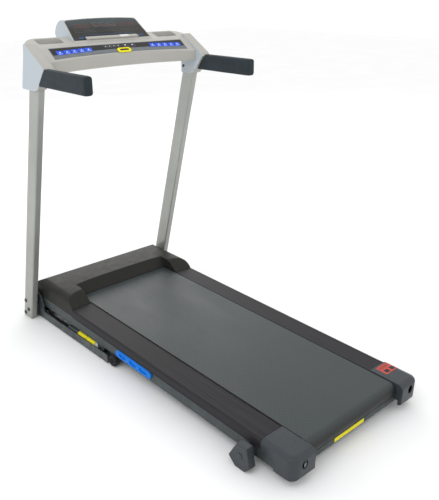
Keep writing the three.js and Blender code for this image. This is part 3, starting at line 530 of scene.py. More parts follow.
def skin(rings, closed=False):
    """Quads between rings of points; a ring of one point closes to a tip."""
    bm = bmesh.new()
    rows = [[bm.verts.new(p) for p in ring] for ring in rings]
    pairs = list(zip(rows, rows[1:]))
    if closed:
        pairs.append((rows[-1], rows[0]))
    for first, second in pairs:
        count = max(len(first), len(second))
        for i in range(count):
            j = (i + 1) % count
            corners = [first[i % len(first)], first[j % len(first)],
                       second[j % len(second)], second[i % len(second)]]
            bm.faces.new(dict.fromkeys(corners))
    bmesh.ops.recalc_face_normals(bm, faces=bm.faces)
    return bm


def turned(profile, axis, u, v, steps=48):
    """A turned piece; profile holds (place along the axis, radius) points."""
    closed = profile[0] == profile[-1]
    put = PLACES[axis]
    rings = []
    for along, radius in profile[:-1] if closed else profile:
        if radius == 0:
            rings.append([put(u, v, along)])
        else:
            circle = arc(u, v, radius, 0, 360 - 360 / steps, steps - 1)
            rings.append([put(a, b, along) for a, b in circle])
    return skin(rings, closed)


def rod(axis, low, high, radius, u, v, steps=32):
    return turned([(low, 0), (low, radius), (high, radius), (high, 0)], axis, u, v, steps)


def sleeve(outer, inner, axis, low, high):
    """A straight tube between two outlines that have the same number of points."""
    put = PLACES[axis]
    rings = [[put(a, b, at) for a, b in outline]
             for outline, at in ((outer, low), (outer, high), (inner, high), (inner, low))]
    return skin(rings, closed=True)


def as_object(bm):
    mesh = bpy.data.meshes.new("work")
    bm.to_mesh(mesh)
    bm.free()
    made = bpy.data.objects.new("work", mesh)
    bpy.context.scene.collection.objects.link(made)
    return made


def boolean(operation, first, *others):
    """Joins, cuts or intersects solids, in order."""
    target = as_object(first)
    tools = [as_object(bm) for bm in others]
    for tool in tools:
        step = target.modifiers.new("step", "BOOLEAN")
        step.operation, step.solver, step.object = operation, "EXACT", tool
    evaluated = target.evaluated_get(bpy.context.evaluated_depsgraph_get())
    mesh = bpy.data.meshes.new_from_object(evaluated)
    bm = bmesh.new()
    bm.from_mesh(mesh)
    bpy.data.meshes.remove(mesh)
    for used in [target, *tools]:
        data = used.data
        bpy.data.objects.remove(used)
        bpy.data.meshes.remove(data)
    return bm


def cut(first, *others):
    return boolean("DIFFERENCE", first, *others)


def join(first, *others):
    return boolean("UNION", first, *others)


def overlap(first, *others):
    return boolean("INTERSECT", first, *others)


def flipped(bm):
    """A mirrored copy, for the other side."""
    other = bm.copy()
    other.transform(Matrix.Diagonal((-1, 1, 1, 1)))
    bmesh.ops.reverse_faces(other, faces=other.faces)
    return other


def both(make):
    """A solid and its mirror image."""
    first = make()
    return first, flipped(first)


def moved(bm, matrix):
    bm.transform(matrix)
    return bm


def soften(bm, width, segments=3, angle=28, where=None):
    """Rounds the edges that are sharper than an angle."""
    bmesh.ops.remove_doubles(bm, verts=bm.verts, dist=0.02)
    bmesh.ops.dissolve_limit(bm, angle_limit=math.radians(0.6), verts=bm.verts, edges=bm.edges)
    edges = []
    for edge in bm.edges:
        if len(edge.link_faces) != 2 or edge.calc_face_angle(0) < math.radians(angle):
            continue
        middle = (edge.verts[0].co + edge.verts[1].co) / 2
        if where is None or where(middle):
            edges.append(edge)
    bmesh.ops.bevel(bm, geom=edges, offset=width, offset_type="OFFSET", segments=segments,
                    profile=0.5, affect="EDGES", clamp_overlap=True)
    return bm


# ---------------- pieces

SHARP_ANGLE = math.radians(38)


def piece(name, bm, body, slot, nodes=(), place=STANDING, film=None):
    """Puts a finished solid into the part's frame, on its body, with its material."""
    bm.transform(place)
    bmesh.ops.recalc_face_normals(bm, faces=bm.faces)
    mesh = bpy.data.meshes.new(name)
    bm.to_mesh(mesh)
    bm.free()
    mesh.shade_smooth()
    mesh.set_sharp_from_angle(angle=SHARP_ANGLE)
    mesh.materials.append(FILMS[film] if film else MATERIALS[slot])
    made = bpy.data.objects.new(name, mesh)
    bpy.context.scene.collection.objects.link(made)
    weighted = made.modifiers.new("even_normals", "WEIGHTED_NORMAL")
    weighted.keep_sharp = True
    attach(made, body)
    if nodes:
        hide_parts(*nodes)
    return made


def pair(name, make, body, slot, node=None, place=STANDING, film=None):
    """A right and a left piece from one solid; braces in the body's name stand for the side."""
    made = []
    for side, bm in zip(("right", "left"), both(make)):
        nodes = (f"{node}_{side}",) if node else ()
        made.append(piece(f"{name}_{side}", bm, body.format(side), slot, nodes, place, film))
    return made


# ---------------- uprights and base

def leaning(bm):
    turn = Matrix.Translation((0, UPRIGHT_FOOT_Y, 0)) @ Matrix.Rotation(UPRIGHT_LEAN, 4, "X")
    return moved(bm, turn)


def upright_core(grow, top):
    half = UPRIGHT_DEPTH / 2 + grow
    outline = rounded(UPRIGHT_IN - grow, UPRIGHT_OUT + grow, -half, half, 5, 6)
    return leaning(prism(outline, "Z", -60, top / math.cos(UPRIGHT_LEAN)))


def upright():
    wall = 2.2
    half = UPRIGHT_DEPTH / 2 - wall
    inside = rounded(UPRIGHT_IN + wall, UPRIGHT_OUT - wall, -half, half, 2.8, 4)
    below_base = block(300, 370, 1300, 1600, -200, 3)
    tube = cut(upright_core(0, UPRIGHT_TOP), leaning(prism(inside, "Z", -90, 1200)), below_base)
    return soften(tube, 0.5, 2, 50)


def upright_block():
    outline = [(1398, 6), (1450, 6), (1440, 60), (1436, 94), (1402, 94), (1388, 60)]
    return soften(prism(outline, "X", 309.9, UPRIGHT_IN - 0.3), 2)


def upright_bolt(y, z):
    """A domed hexagon-socket head and its washer."""
    x = UPRIGHT_OUT
    profile = [(x - 2, 0), (x - 2, 4), (x + 0.3, 4), (x + 0.3, 8.6), (x + 1.2, 8.8), (x + 1.3, 6.8),
               (x + 2.6, 6.4), (x + 4, 4.9), (x + 4.5, 3), (x + 4.5, 2.6), (x + 2, 2.4), (x + 2, 0)]
    return turned(profile, "X", y, z, 36)


def build_uprights():
    pair("upright_tube", upright, "base", "silver_paint", "upright")
    pair("upright_spacer", upright_block, "base", "black_steel", "upright_bolts")
    for number, (y, z) in enumerate(UPRIGHT_BOLTS):
        pair(f"upright_bolt_head_{number}", lambda: upright_bolt(y, z), "base", "black_steel")


def wheel():
    """A solid tyre on a hub, with a shallow tread groove either side."""
    x0, x1, r = 289.5, 308, WHEEL_R
    profile = [(x0, 5.4), (x0, 9), (x0 + 1.6, 10), (x0 + 1.6, 15), (x0, 16.5), (x0, r - 3.4),
               (x0 + 1, r - 1.2), (x0 + 3, r), (x0 + 6.5, r), (x0 + 7, r - 0.8), (x0 + 8, r - 0.8),
               (x0 + 8.5, r)]
    far_side = [(x0 + x1 - x, radius) for x, radius in reversed(profile)]
    return turned(profile + far_side + [profile[0]], "X", WHEEL_Y, WHEEL_Z, 56)


def wheel_bolt():
    head = prism(arc(WHEEL_Y, WHEEL_Z, 8.2, 0, 300, 5), "X", 279.5, 283.6)
    shank = turned([(283, 0), (283, 5), (308.4, 5), (308.4, 8.5), (310.4, 8.2), (312, 6.4), (312, 3),
                    (310.2, 2.6), (310.2, 0)], "X", WHEEL_Y, WHEEL_Z, 40)
    return join(soften(head, 0.5, 2, 40), shank)


def floor_pad(y0, y1):
    pad = prism(rounded(272, 307, y0, y1, 6, 6), "Z", 0, 4)
    grooves = [block(260, 320, y, y + 1.6, -1, 0.8) for y in range(y0 + 5, y1 - 4, 5)]
    return cut(soften(pad, 0.7, 2), *grooves)


def build_base():
    pair("castor_tyre", wheel, "wheel_{}", "rubber", "transport_wheel")
    pair("castor_bolt", wheel_bolt, "base", "bright_steel", "wheel_bolt", film="black_zinc")
    pair("front_pad", lambda: floor_pad(1385, 1408), "base", "rubber", "floor_pad_front")
    pair("rear_pad", lambda: floor_pad(896, 924), "base", "rubber", "floor_pad_rear")


# ---------------- running gear

def running_belt():
    rollers = [(y, ROLLER_Z, ROLLER_R) for y in ROLLER_YS]
    outer, inner = loop_outline(*rollers, 2.3), loop_outline(*rollers, 0.3)
    return sleeve(outer, inner, "X", -BELT_HALF, BELT_HALF)


def foot_rail_outline():
    """The rail's section, with fine ribs along its tread."""
    skin_top = [(RAIL_OUT, SKIRT_Z), (RAIL_OUT, 66.5), (RAIL_OUT - 0.8, 67.2), (RAIL_OUT - 0.8, 68.2),
                (RAIL_OUT, 68.9), (RAIL_OUT, 88), (300.4, 90.4), (299, 92.6), (296.8, 94.2),
                (293.5, 95.1), (290, 95.5)]
    pitch, height = 7, 0.35
    x = 287.5
    while x > 224:
        crown = 97 - 0.028 * (x - RAIL_IN)
        skin_top += [(x, crown - 0.1), (x - 0.6, crown - height), (x - 1.8, crown - height),
                     (x - 2.4, crown - 0.1)]
        x -= pitch
    skin_top += [(221.5, 96.9), (217.5, 97), (215.4, 96.6), (RAIL_IN, 95.4), (RAIL_IN, 93.4)]
    inside = [(263, 92.8), (263, SKIRT_Z), (267, SKIRT_Z), (267, 92.4), (290, 91.4), (295.6, 89.6),
              (297.4, 86), (297.4, SKIRT_Z)]
    return skin_top + inside


def foot_rail():
    return prism(foot_rail_outline(), "Y", *RAIL_YS)


def cap_side(inset):
    past = CAP_DEPTH + 20
    return drawn_in(((0, 32, 1, 0), (0, 86, 1, -1), (4, 94, 1, -1), (11, 98.5, 1, -1),
                     (20, 101, 1, -1), (past, 101, 0, -1), (past, 24.5, 0, 1), (14, 25, 1, 1),
                     (5, 27.5, 1, 1)), inset)


def cap_plan(inset):
    radius = 30 - inset
    x0, x1 = CAP_IN - 1, CAP_OUT - inset
    corner = arc(x1 - radius, radius + inset, radius, -90, 0, 12)
    return [(x0, inset), *corner, (x1, CAP_DEPTH + 30), (x0, CAP_DEPTH + 30)]


def cap_crown(inset):
    """The cap's outline at rising heights, drawn in as its shoulder rounds over."""
    shoulder = ((87, 0), (90.2, 0.6), (93.6, 2.3), (96.2, 5), (98.2, 9), (99.8, 14), (101, 20))
    rings = [[(260, 60, 10)], [(x, y, 10) for x, y in cap_plan(inset)]]
    for z, further in shoulder:
        rings.append([(x, y, z - inset) for x, y in cap_plan(inset + further)])
    rings.append([(260, 60, 101 - inset)])
    return skin(rings)


def cap_block(inset, x0, x1):
    return overlap(prism(cap_side(inset), "X", x0, x1), cap_crown(inset))


def rear_cap():
    solid = cap_block(0, CAP_IN, CAP_OUT)
    solid = cut(solid, block(200, 320, CAP_DEPTH, 200, 0, 120),
                block(200, 320, CAP_LOWER_DEPTH, 200, 0, 62))
    solid = soften(solid, 1.8, 3, 34)
    wall = 3.4
    hole, flare = (rounded(ADJUSTER_X - half, ADJUSTER_X + half, ROLLER_Z - half - 4,
                           ROLLER_Z + half + 4, half - 0.1, 10) for half in (10.5, 11.5))
    return cut(
        solid, cap_block(wall, CAP_IN + wall, CAP_OUT),
        block(CAP_IN + wall, CAP_OUT - wall, CAP_LOWER_DEPTH - 10, 200, 0, 80),
        block(205, 222, 34, 66, 58, 84),
        block(205, 250, 14, 160, 10, 45),
        prism(hole, "Y", -10, 8),
        prism(flare, "Y", -10, 0.8),
    )


def side_insert():
    """A blue trim piece with three oblong recesses and a rolled rim."""
    outline = [(636, 46), (646, 33.5), (832, 33), (844, 39), (844, 50), (828, 62.7), (652, 62.7),
               (638, 56)]
    body = soften(prism(outline, "X", 297.1, 303.5), 1.6, 3, 20)
    slots = [prism(rounded(y - 20, y + 20, 41, 54, 6, 6), "X", 299.5, 310) for y in (682, 741, 800)]
    rim = prism(rounded(654, 828, 57.6, 59.2, 0.7, 3), "X", 302.6, 310)
    return cut(body, *slots, rim)


def build_deck_sides():
    pair("foot_rail_tread", foot_rail, "deck", "rail_plastic", "foot_rail", DECK)
    pair("end_cap", rear_cap, "deck", "cap_plastic", "rear_cap", DECK)
    pair("blue_trim", side_insert, "deck", "blue_plastic", "side_insert", DECK)
    piece("belt_loop", running_belt(), "deck", "belt", ("running_belt",), DECK)


def rear_foot(inner, outer):
    around = ((47.5, -20.5), (14, 38), (-25, 38), (-38, -25), (-18, -46), (20, -46))
    outline = [(FOOT_Y + y, FOOT_Z + z) for y, z in around]
    body = soften(prism(outline, "X", inner, outer), 2.2, 4)
    return cut(body, rod("X", 290, 360, 6.4, FOOT_Y, FOOT_Z))


def foot_bolt(inner, outer):
    """The foot's pivot: a collar on the frame, a stem and a low cap over its end."""
    return turned([(258, 0), (258, 6), (297, 6), (297, 15), (inner - 0.4, 15), (inner - 0.4, 6),
                   (outer + 0.4, 6), (outer + 0.4, 9.6), (outer + 0.9, 10), (outer + 1.7, 9.4),
                   (outer + 2.1, 8), (outer + 2.1, 0)], "X", FOOT_Y, FOOT_Z, 48)


def build_rear_feet():
    for side, span in FOOT_SPANS:
        turn = flipped if side == "left" else bmesh.types.BMesh.copy
        piece(f"slope_foot_{side}", turn(rear_foot(*span)), f"foot_{side}", "cap_plastic",
              (f"rear_foot_{side}",))
        piece(f"slope_foot_bolt_{side}", turn(foot_bolt(*span)), "deck", "bright_steel",
              (f"foot_bolt_{side}",), film="cap_tone")


# ---------------- motor hood

def hood_profile(inset, low):
    return drawn_in((
        (1137, low, 1, 0), (1137, 95, 1, -0.5), (1141, 101, 1, -0.5), (1154, 112, 0.5, -1),
        (1168, 123, 0.5, -1), (1175, 128.2, 0, -1), (1182, 132.5, 0, -1), (1189, 136, 0, -1),
        (1196, 138.5, 0, -1), (1205, 140.4, 0, -1), (1215, 141.5, 0, -1), (1250, 142.5, 0, -1),
        (1320, 140.5, 0, -1), (1375, 134, 0, -1), (1395, 127.5, 0, -1), (1412, 117, -0.5, -1),
        (1427, 103, -1, -0.5), (1436, 92, -1, 0), (HOOD_FRONT, 80, -1, 0), (HOOD_FRONT, low, -1, 0),
    ), inset)


def hood_section(inset, low):
    out = HOOD_HALF - inset
    right = [(out, low), (out, 109), (out - 2, 116 - inset / 2), (out - 7, 123.5 - inset),
             (out - 15, 129.5 - inset), (out - 28, 134 - inset), (out - 60, 138 - inset),
             (out - 150, 141.5 - inset)]
    return right + [(0, 143 - inset)] + mirrored(right)


def belt_well(grow):
    outline = [(1100, 60), (1213 + grow, 60), (1213 + grow, 101), (1250 + grow, 150), (1100, 150)]
    return prism(outline, "X", -RAIL_IN - grow, RAIL_IN + grow)


def motor_hood():
    wall = 3.5
    body = overlap(prism(hood_profile(0, SKIRT_Z), "X", -HOOD_HALF, HOOD_HALF),
                   prism(hood_section(0, SKIRT_Z), "Y", 1100, 1450))
    body = cut(body, belt_well(0))
    body = soften(body, 5, 4, 24, lambda m: m.z > SKIRT_Z + 2)
    hollow = overlap(prism(hood_profile(wall, 20), "X", -HOOD_HALF, HOOD_HALF),
                     prism(hood_section(wall, 20), "Y", 1100, 1460))
    hollow = cut(hollow, cut(belt_well(wall), block(-300, 300, 1000, 1500, 0, 99)))
    under = block(-RAIL_IN - wall - 1, RAIL_IN + wall + 1, 1130, 1300, 20, 99)
    shell = cut(body, hollow, under)
    nose = soften(block(-292, 292, 1436.8, HOOD_FRONT, 27, 84), 1.2, 2, 40, lambda m: m.y > 1439)
    shell = join(shell, nose)
    window = block(119.7, 190.3, 1400, 1460, 59.7, 86.3)
    louvres = [prism(rounded(x, x + 42, z, z + 4, 1.9, 3), "Y", 1400, 1460)
               for z in (38, 48) for x in range(-230, 60, 56)]
    return cut(shell, window, *louvres)


def hood_screw(x, y, z):
    """A sunk cross-head screw in the hood's top."""
    profile = [(z - 3, 0), (z - 3, 3), (z, 5), (z + 0.8, 4.6), (z + 1.1, 3), (z + 1.1, 0)]
    slots = [block(x - across, x + across, y - along, y + along, z + 0.3, z + 3)
             for across, along in ((2.6, 0.6), (0.6, 2.6))]
    return cut(turned(profile, "Z", x, y, 28), *slots)


def power_module():
    x0, x1 = 120, 190
    body = soften(block(x0, x1, 1414, 1441.5, 60, 86), 1, 3, 40)
    cuts = [prism(rounded(x0 + 5, x0 + 31, 65, 81, 2.5, 4), "Y", 1424, 1450),
            block(x0 + 39, x0 + 65, 1424, 1450, 63, 83)]
    body = cut(body, *cuts)
    blades = [block(x0 + 18 + dx - 1, x0 + 18 + dx + 1, 1420, 1436, 73 + dz - 2, 73 + dz + 2)
              for dx, dz in ((-7, -1.5), (7, -1.5), (0, 2))]
    return body, blades


def build_hood():
    piece("hood_shell", motor_hood(), "deck", "dark_plastic", ("motor_hood",), DECK)
    for side, x in (("left", -250), ("right", 250)):
        piece(f"hood_screw_{side}", hood_screw(x, 1400, 121.5), "deck", "black_steel", (), DECK)
    body, blades = power_module()
    piece("inlet_body", body, "deck", "dark_plastic", ("power_inlet",), DECK)
    for number, blade in enumerate(blades):
        piece(f"inlet_blade_{number}", soften(blade, 0.3, 2), "deck", "bright_steel", (), DECK)
    outline = [(-8, -3), (2, -8.6), (6.5, -8.2), (4, 0), (6.5, 8.2), (2, 8.6), (-8, 3)]
    rocker = soften(prism(outline, "X", -12, 12), 0.6, 2, 20)
    tipped = Matrix.Rotation(math.radians(-8), 4, "X")
    place = DECK @ Matrix.Translation((172, 1436, 73)) @ tipped
    piece("rocker_cap", rocker, "rocker", "dark_plastic", ("power_rocker",), place)


# ---------------- strut

def strut_eye(y):
    """A flat eye for a pin across the strut, at a place along it."""
    return turned([(-3.6, 4.3), (-3.6, 8.4), (-3, 9), (3, 9), (3.6, 8.4), (3.6, 4.3), (-3.6, 4.3)],
                  "X", y, 0, 40)


def strut_neck(low, high):
    return soften(block(-3.6, 3.6, low, high, -4, 4), 0.8, 2)


def build_strut():
    run, rise = (base - deck for base, deck in zip(STRUT_BASE_PIN, STRUT_DECK_PIN))
    length = math.hypot(run, rise)
    place = (STANDING @ Matrix.Translation((STRUT_X, *STRUT_DECK_PIN))
             @ Matrix.Rotation(math.atan2(rise, run), 4, "X"))
    tail = turned([(15, 0), (15, 4), (17, 7.5), (19, 10), (22, 11.6), (25, 12), (33, 12), (34, 11.4),
                   (34, 0)], "Y", 0, 0, 48)
    piece("strut_tail", join(strut_eye(0), strut_neck(7, 20), tail), "strut_tube", "black_steel", (),
          place, "pale_grey")
    tube = turned([(34, 5.5), (34, 11.6), (214, 11.6), (216, 12), (223.5, 12), (225, 10.8), (225, 5.5),
                   (34, 5.5)], "Y", 0, 0, 48)
    piece("strut_tube", tube, "strut_tube", "black_steel", ("strut_cylinder",), place)
    for end, low, high in (("rear", 36, 93), ("front", 95, 152)):
        label = turned([(low, 11.65), (low, 11.95), (high, 11.95), (high, 11.65), (low, 11.65)],
                       "Y", 0, 0, 48)
        piece(f"strut_label_{end}", label, "strut_tube", "yellow_plastic", (), place)
    shaft = join(rod("Y", 108, length - 22, 5, 0, 0, 40), strut_neck(length - 24, length - 7),
                 strut_eye(length))
    piece("strut_shaft", shaft, "strut_shaft", "bright_steel", ("strut_rod",), place, "black_zinc")
    pin = turned([(-12, 0), (-12, 6), (-11.3, 7), (-8, 7), (-8, 4), (8, 4), (8, 7), (11.3, 7), (12, 6),
                  (12, 0)], "X", *STRUT_DECK_PIN, 36)
    piece("strut_deck_pin", moved(pin, Matrix.Translation((STRUT_X, 0, 0))), "deck", "bright_steel",
          ("strut_pin",), film="black_zinc")


# ---------------- console

def strip_height(y):
    return STRIP_Z + math.tan(STRIP_TILT) * (y - STRIP_Y)


def user_edge(x, back):
    return 1114.6 + back - 15.4 * (x / 309) ** 2


def console_plan(inset, reach):
    """The console from above; its far corners are round only at its full width."""
    front = [(x, user_edge(x, inset)) for x in spaced(-reach, reach, 24)]
    if reach > WING_IN:
        right = [(CONSOLE_OUT, 1150 - inset), (353, 1172 - inset), (347, 1191 - inset),
                 (338, 1207 - inset), (325, 1220 - inset), (308, 1230 - inset), (288, 1236 - inset)]
    else:
        right = [(reach, 1230 - inset)]
    right.append((266, 1240 - inset))
    return front + right + mirrored(right)


def console_side(inset):
    return [(1060, strip_height(1060) - inset), (1156, 1085.4 - inset), (1234, 1112.5 - inset),
            (1242, 1106 - inset), (1248, 1054), (1098, 1007), (1060, 1002)]


WING = [(1062, 1026), (1072, 1038), (1156, 1088.5), (1178, 1102), (1184, 1101), (1192, 1062),
        (1222, 961), (1220, 955), (1142, 953), (1119, 959), (1108, 970)]


def console_wing():
    shell = prism(WING, "X", WING_IN, CONSOLE_OUT)
    front_corner = [(310, 1189), (317, 1189), (343, 1222), (343, 1240), (310, 1240)]
    return cut(shell, block(WING_IN - 1, UPRIGHT_IN - 0.7, 1000, 1300, 900, 970),
               prism(front_corner, "Z", 940, 1110))


def tray(grow, floor):
    x0, x1, y0, y1 = TRAY
    return prism(rounded(x0 - grow, x1 + grow, y0 - grow, y1 + grow, 8, 6), "Z", floor, 1140)


def bow(x, half):
    return 11 * (1 - (x / half) ** 2)


def strip_outline(grow, low=0):
    """The keypad's outline: its user edge bows five times as much as its far edge."""
    half = STRIP_HALF + grow
    xs = spaced(-half, half, 24)
    near = [(x, 3 + low + bow(x, half) - grow) for x in xs]
    far = [(x, 57 + bow(x, half) * 0.2 + grow) for x in xs]
    return near + far[::-1]


def bar_space(clearance, y0, y1):
    """The room that a handlebar takes up."""
    return block(BAR_X[0] - clearance, BAR_X[1] + clearance, y0, y1,
                 BAR_Z[0] - clearance, BAR_Z[1] + clearance)


def console_housing():
    bar = prism(console_side(0), "X", -CONSOLE_OUT, CONSOLE_OUT)
    body = overlap(bar, prism(console_plan(0, CONSOLE_OUT), "Z", 990, 1130))
    body = join(body, *both(console_wing))
    body = soften(body, 5.5, 4, 24)
    inner = overlap(prism(console_side(3.5), "X", -300, 300),
                    prism(console_plan(4, 300), "Z", 990, 1130))
    lowered = [moved(inner.copy(), Matrix.Translation((0, 0, -drop))) for drop in (7, 14)]
    cavity = cut(join(inner, *lowered), *both(lambda: tray(3.5, 1078)))
    recess = moved(prism(strip_outline(0.4), "Z", -1.2, 10), STRIP_PLACE)
    body = cut(body, *both(lambda: upright_core(0.6, UPRIGHT_TOP + 4)),
               *both(lambda: bar_space(0.4, 1000, 1180)), cavity, recess,
               *both(lambda: tray(0, 1081.5)))
    x0, x1, y0, y1 = TRAY
    return soften(body, 1.6, 3, 40, lambda m: (x0 - 1 < abs(m.x) < x1 + 1
                                               and y0 - 2 < m.y < y1 + 2 and m.z > 1080))


def console_cover():
    outline = [(1060, 1002), (1098, 1007), (1248, 1054), (1248, 1058), (1098, 1011), (1060, 1006)]
    plate = overlap(prism(outline, "X", -299, 299), prism(console_plan(4.5, 299), "Z", 990, 1130))
    return soften(plate, 1, 2, 40)


def wing_screw():
    """A black cross-head screw low on the wing's inner side."""
    x, y, z = WING_IN, 1177, 981
    head = turned([(x + 1, 0), (x + 1, 6), (x - 0.4, 6), (x - 2.4, 4.6), (x - 3, 2.8), (x - 3, 0)],
                  "X", y, z, 28)
    slots = [block(x - 5, x - 1.6, y - along, y + along, z - up, z + up)
             for along, up in ((3, 0.6), (0.6, 3))]
    return cut(head, *slots)


def build_console():
    piece("console_shell", console_housing(), "base", "console_plastic", ("console_housing",))
    piece("console_underside", console_cover(), "base", "console_plastic", ("console_base_cover",))
    pair("wing_screw", wing_screw, "base", "black_steel")


# ---------------- keypad

def arch(x):
    """The keypad's user edge, which its keys follow."""
    return 3 + bow(x, STRIP_HALF)


def plate(outline, low, high, radius):
    return soften(prism(outline, "Z", low, high), radius, 2, 40)


def rim_plate(a0, a1, b0, b1, line, radius, low, high):
    outer = rounded(a0, a1, b0, b1, radius, 3)
    inner = rounded(a0 + line, a1 - line, b0 + line, b1 - line, max(0.3, radius - line), 3)
    return sleeve(outer, inner, "Z", low, high)


def merged(solids):
    """Several separate solids as one mesh."""
    whole = bmesh.new()
    for bm in solids:
        mesh = bpy.data.meshes.new("part")
        bm.to_mesh(mesh)
        bm.free()
        whole.from_mesh(mesh)
        bpy.data.meshes.remove(mesh)
    return whole


def triangle(x, s, low, high, size, turn):
    return prism(arc(x, s, size, turn, turn + 240, 2), "Z", low, high)


def build_keypad():
    film = plate(strip_outline(0), -0.9, 0.5, 0.3)
    piece("keypad_film", film, "base", "keypad", ("keypad_strip",), STRIP)
    band = plate(strip_outline(-2.5, 16), 0.5, 0.62, 0.05)
    piece("keypad_dark_band", band, "base", "keypad", (), STRIP, "dark_film")
    keys, marks, rims = [], [], []
    on_key, on_film = (1.24, 1.33), (0.6, 0.78)
    for side in (-1, 1):
        for number in range(5):
            x = side * 194.5 + (number - 2) * 28.6
            s = arch(x) + 26
            keys.append(plate(rounded(x - 12.6, x + 12.6, s - 9.5, s + 9.5, 2.5, 4), 0.6, 1.25, 0.35))
            marks.append(triangle(x, s + 1.6, *on_key, 4.2, 90))
            marks.append(prism(rectangle(x - 7, x + 7, s - 5.6, s - 4.4), "Z", *on_key))
    for number, x in enumerate((-63, -45, -27, -9, 21, 52)):
        half = 7 if number < 4 else 10.5
        s = arch(x) + 34
        rims.append(rim_plate(x - half, x + half, s - half, s + half, 0.9, half * 0.45, 0.6, 0.95))
        if number < 4:
            marks.append(rod("Z", *on_film, 1.8, x, s, 16))
        else:
            marks.append(triangle(x, s, *on_film, 4.4, 90 if number % 2 else 270))
    for name, solids, tint in (("quick_keys", keys, "blue_film"), ("key_marks", marks, "white_film"),
                               ("key_rims", rims, "dim_grey_film")):
        piece(name, merged(solids), "base", "keypad", (), STRIP, tint)
    holder = soften(prism(rounded(-29, 29, 9.5, 31.5, 10.9, 10), "Z", 1.1, 5.6), 1.6, 4, 40)
    holder = cut(holder, prism(rounded(-19.5, 19.5, 16, 25, 4.4, 8), "Z", 0, 8))
    piece("key_holder", holder, "base", "yellow_plastic", ("safety_key_socket",), STRIP)
    key = soften(prism(rounded(-19, 19, 16.5, 24.5, 3.9, 8), "Z", 1.2, 5), 0.7, 3, 40)
    grip_lines = [block(x, x + 1, 15, 26, 4.5, 6) for x in range(-12, 13, 4)]
    piece("pull_key", cut(key, *grip_lines), "key", "dark_plastic", ("safety_key",), STRIP)


# ---------------- display pod

def pod_face(inset):
    half = POD_HALF - inset
    foot = POD_FOOT_HALF - inset
    side = [(half, 89 - inset), *arc(half - 9, 97.5 - inset, 9, 0, 70, 4)[1:]]
    top = [(x, 107 - inset + 7 * (1 - (x / half) ** 2)) for x in spaced(half - 12, 12 - half, 12)]
    return [(-foot, inset), (foot, inset), *side, *top, *mirrored(side)]


def pod_side(inset):
    return drawn_in(((1160, 1079.4, 0, -1), (1271.5, 1168.3, 0, -1), (1284, 1166.5, 0, -1),
                     (1300, 1156, -0.5, -1), (1310, 1143, -1, -0.5), (1314, 1130, -1, 0),
                     (1314, 1118, -1, 0), (1300, 1102, 0, 1), (1252, 1089, 0, 1), (1230, 1080, 0, 1),
                     (1160, 1050, 0, 0)), inset)


def pod_front(inset):
    half = POD_HALF - inset
    foot = POD_FOOT_HALF - inset
    side = [(foot, 1040), (foot, 1097.6), (half, 1157 - inset), (half - 2, 1161.5 - inset)]
    top = [(x, 1164 - inset + 4.4 * (1 - (x / half) ** 2)) for x in spaced(half - 6, 6 - half, 12)]
    return side + top + mirrored(side)


def pod_shape(inset):
    return overlap(prism(pod_side(inset), "X", -170, 170), prism(pod_front(inset), "Y", 1100, 1400))


def under_pod():
    outline = [(1140, 1040), (1140, 1074.2), (1156, 1085.7), (1234, 1112.9), (1242.8, 1106.6),
               (1249, 1054), (1249, 1040)]
    return prism(outline, "X", -175, 175)


def on_pod(bm):
    return moved(bm, POD_PLACE)


def pod_slice(low, high):
    """The softened pod between two heights square to its window."""
    return overlap(soften(pod_shape(0), 4.5, 4, 24), on_pod(block(-170, 170, -30, 150, low, high)))


def display_housing():
    hollow = cut(pod_shape(4), on_pod(block(-170, 170, -40, 150, -4.5, 20)))
    seat = on_pod(prism(pod_face(3.6), "Z", -2, 20))
    return cut(pod_slice(-26, 20), hollow, seat, under_pod())


def display_back():
    vents = [on_pod(block(x, x + 40, 70, 73, -120, -20)) for x in (-110, -55, 15, 70)]
    return cut(pod_slice(-160, -26.3), pod_shape(4), under_pod(), *vents)


def ledge():
    outline = [(4, -1.7), (20, -1.7), (20, 1.4), (11, 2.4), (8.6, 6), (4, 6)]
    return soften(prism(outline, "X", -110, 110), 0.9, 3, 30)


def lens_marks():
    """Rows of dim generic marks behind the window: readouts, scales and lamps."""
    random.seed(11)
    red, blue, grey = [], [], []
    low, high = 0.6, 0.68

    def mark(x0, x1, s0, s1):
        return prism(rectangle(x0, x1, s0, s1), "Z", low, high)

    for side in (-1, 1):
        for row in range(3):
            for column in range(8):
                x = side * (66 + 9 * column)
                s = 66 + 8 * row
                width = 2.4 + 1.6 * random.random()
                red.append(mark(x - width, x + width, s - 1, s + 1))
    for column in range(25):
        x = -134 + column * 11.2
        if abs(x) < 112:
            blue.append(mark(x - 3.8, x + 3.8, 28, 30.2))
        grey.append(mark(x - 2.4, x + 2.4, 42, 43.4))
        grey.append(mark(x - 3.2, x + 1.2, 50, 51.2))
    for x in (-128, 128):
        blue.append(prism(rounded(x - 10, x + 10, 12, 18, 2, 3), "Z", low, high))
    for x in (-34, 0, 34):
        grey.append(rim_plate(x - 14, x + 14, 68, 88, 1, 2, low, high))
        for bar in range(5):
            tall = 3 + 10 * random.random()
            left = x - 10 + bar * 4.4
            red.append(mark(left, left + 2.6, 70, 70 + tall))
    return red, blue, grey


